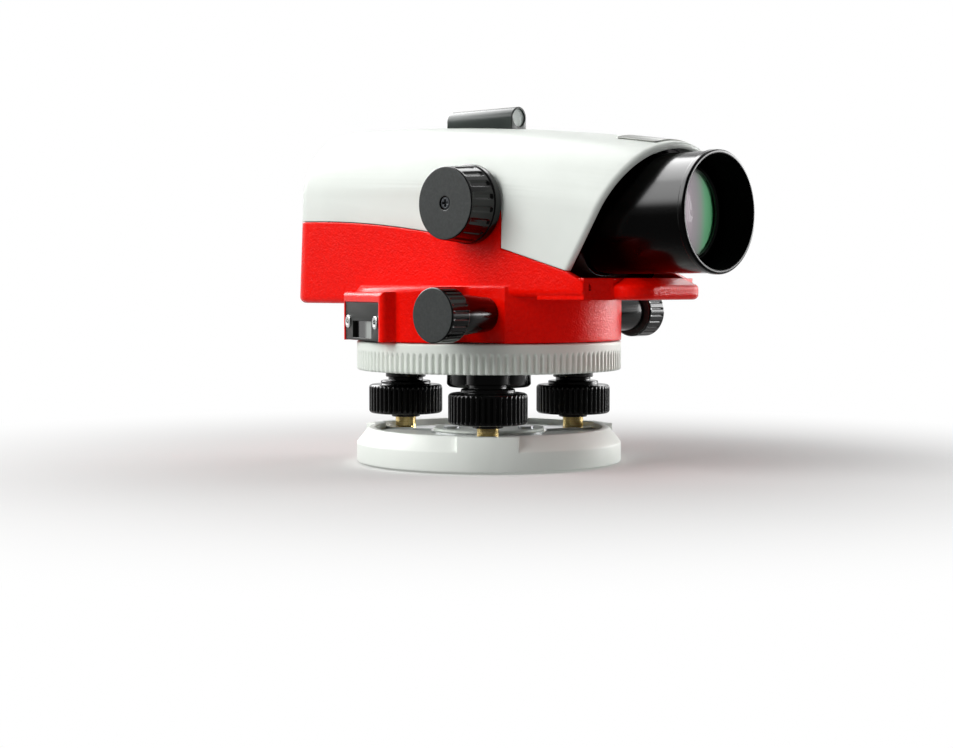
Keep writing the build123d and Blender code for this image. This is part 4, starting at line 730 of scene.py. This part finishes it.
def whiteFloor():
    # white paper: it keeps the shadow near the feet and turns into plain white further out;
    # gloss sees it dim in front of the level, as the room is there
    half = paper["half"]
    corners = [(-half, -half, 0), (half, -half, 0), (half, half, 0), (-half, half, 0)]
    mesh = bpy.data.meshes.new("floor")
    mesh.from_pydata(corners, [], [(0, 1, 2, 3)])
    made = bpy.data.objects.new("floor", mesh)
    scene.collection.objects.link(made)
    paint, tree, out, place = newMaterial("whitePaper")

    def joined(first, second, operation):
        return add(tree, "ShaderNodeMath", {0: first, 1: second}, operation=operation).outputs[0]

    def eased(value, low, high):
        return add(tree, "ShaderNodeMapRange", {"Value": value, "From Min": low, "From Max": high},
                   interpolation_type="SMOOTHSTEP").outputs["Result"]

    matt = add(tree, "ShaderNodeBsdfDiffuse", {"Color": clouded(tree, place, 200, "#F2F2F1", "#F5F5F4")})
    seen = add(tree, "ShaderNodeLightPath").outputs
    back = add(tree, "ShaderNodeVectorMath", {
        0: place, 1: direction(room["away"], 0)}, operation="DOT_PRODUCT")
    ahead = eased(back.outputs["Value"], paper["dim"], -paper["dim"])
    dimmed = joined(seen["Is Glossy Ray"], ahead, "MULTIPLY")
    level = add(tree, "ShaderNodeMapRange", {"Value": dimmed, "To Min": 1.0, "To Max": room["front"]})
    white = add(tree, "ShaderNodeEmission", {"Color": (1, 1, 1, 1), "Strength": level.outputs["Result"]})
    reach = add(tree, "ShaderNodeVectorMath", {0: place}, operation="LENGTH")
    far = eased(reach.outputs["Value"], paper["whiteFrom"], paper["whiteTo"])
    direct = joined(seen["Is Camera Ray"], seen["Is Glossy Ray"], "MAXIMUM")
    direct = joined(direct, seen["Is Transmission Ray"], "MAXIMUM")
    share = joined(joined(direct, far, "MULTIPLY"), dimmed, "MAXIMUM")
    shown = add(tree, "ShaderNodeMixShader", {"Fac": share, 1: matt.outputs[0], 2: white.outputs[0]})
    glow = add(tree, "ShaderNodeEmission", {"Color": (1, 1, 1, 1), "Strength": room["floorGlow"]})
    choice = add(tree, "ShaderNodeMixShader", {
        "Fac": seen["Is Diffuse Ray"], 1: shown.outputs[0], 2: glow.outputs[0]})
    connectSurface(tree, out, choice)
    mesh.materials.append(paint)


whiteFloor()
print("floor done")

# pale panels: azimuth and elevation, the angles where each is whole and where it has faded, all in degrees,
# and its brightness; one lights the matt surfaces, and only mirrors see the others
litPanel = (-60, 20, 30, 85, 0.5)
panels = [(-48, 30, 8, 25, 7.5), (-92, 40, 24, 30, 10.5), (160, 5, 14, 25, 13.0), (203, 36, 8, 18, 5.0)]


def studioWorld():
    # a pale backdrop behind the level and a dim room in front; mirrors also see the panels
    world = bpy.data.worlds.new("studio")
    scene.world = world
    world.use_nodes = True
    tree = world.node_tree
    tree.nodes.clear()
    out = add(tree, "ShaderNodeOutputWorld")
    place = add(tree, "ShaderNodeTexCoord").outputs["Generated"]
    seen = add(tree, "ShaderNodeLightPath")

    def lobe(azimuth, elevation, inner, outer, bright, dim=0):
        # bright within the inner angle of a direction, dim beyond the outer one
        dot = add(tree, "ShaderNodeVectorMath", {
            0: place, 1: direction(azimuth, elevation)}, operation="DOT_PRODUCT")
        return add(tree, "ShaderNodeMapRange", {
            "Value": dot.outputs["Value"], "From Min": math.cos(math.radians(outer)),
            "From Max": math.cos(math.radians(inner)), "To Min": dim, "To Max": bright},
            interpolation_type="SMOOTHSTEP").outputs["Result"]

    def halves(bright):  # bright behind the level, dim in front
        return lobe(room["away"], 0, *room["edge"], bright, room["front"])

    def brightest(*values):
        best = values[0]
        for value in values[1:]:
            best = add(tree, "ShaderNodeMath", {0: best, 1: value}, operation="MAXIMUM").outputs[0]
        return best

    def background(strength):
        return add(tree, "ShaderNodeBackground", {"Color": (1, 1, 1, 1), "Strength": strength}).outputs[0]

    lit = background(brightest(halves(room["behind"]), lobe(*litPanel)))
    mirrored = background(brightest(halves(room["seenBehind"]), *[lobe(*panel) for panel in panels]))
    direct = brightest(seen.outputs["Is Glossy Ray"], seen.outputs["Is Transmission Ray"])
    first = add(tree, "ShaderNodeMixShader", {"Fac": direct, 1: lit, 2: mirrored})
    choice = add(tree, "ShaderNodeMixShader", {
        "Fac": seen.outputs["Is Camera Ray"], 1: first.outputs[0], 2: background(1.0)})
    connectSurface(tree, out, choice)


studioWorld()
print("world done")

# azimuth, elevation, distance, width, height in degrees and metres, and radiance
lamps = {
    "keySoftbox": (-20, 30, 1.2, 0.9, 0.7, 5.35),
    "rightBackSoftbox": (158, 8, 1.3, 0.85, 0.8, 4.8),
    "lensSoftbox": (98, 14, 1.2, 0.5, 0.5, 7),
}


def softbox(name, azimuth, elevation, distance, width, height, radiance):
    # a lamp aimed at the housing, 70 mm up; its power is radiance times pi times its area
    aim = Vector((0, 0, 0.07))
    place = aim + distance * Vector(direction(azimuth, elevation))
    lamp = bpy.data.lights.new(name, "AREA")
    lamp.shape = "RECTANGLE"
    lamp.size, lamp.size_y = width, height
    lamp.energy = radiance * math.pi * width * height
    made = bpy.data.objects.new(name, lamp)
    scene.collection.objects.link(made)
    made.location = place
    made.rotation_euler = (aim - place).to_track_quat("-Z", "Y").to_euler()
    made.visible_glossy = False  # mirrors see the panels instead
    return made


softboxes = {name: softbox(name, *choices) for name, choices in lamps.items()}
lensOnly = bpy.data.collections.new("lensOnly")  # its lamp lights the front lens alone
lensOnly.objects.link(nodes["crown_lens"])
softboxes["lensSoftbox"].light_linking.receiver_collection = lensOnly
print("lamps done:", len(softboxes))

# the camera stands at azimuth, distance and height, in degrees and metres, and its view is turned and lowered
view = {"azimuth": 42.523, "distance": 0.66939, "height": 0.06751, "turned": 0.403, "lowered": 2.939,
        "lens": 66.7, "sensor": 36}


def mainCamera():
    a, b = math.radians(view["azimuth"]), math.radians(view["azimuth"] + view["turned"])
    p = math.radians(view["lowered"])
    place = Vector((math.sin(a) * view["distance"], -math.cos(a) * view["distance"], view["height"]))
    forward = Vector((-math.sin(b) * math.cos(p), math.cos(b) * math.cos(p), -math.sin(p)))
    lens = bpy.data.cameras.new("camera")
    lens.sensor_width = view["sensor"]
    lens.lens = view["lens"]
    lens.clip_start = 0.01
    made = bpy.data.objects.new("camera", lens)
    scene.collection.objects.link(made)
    made.location = place
    made.rotation_euler = forward.to_track_quat("-Z", "Y").to_euler()
    scene.camera = made


mainCamera()
scene.view_settings.view_transform = "Standard"
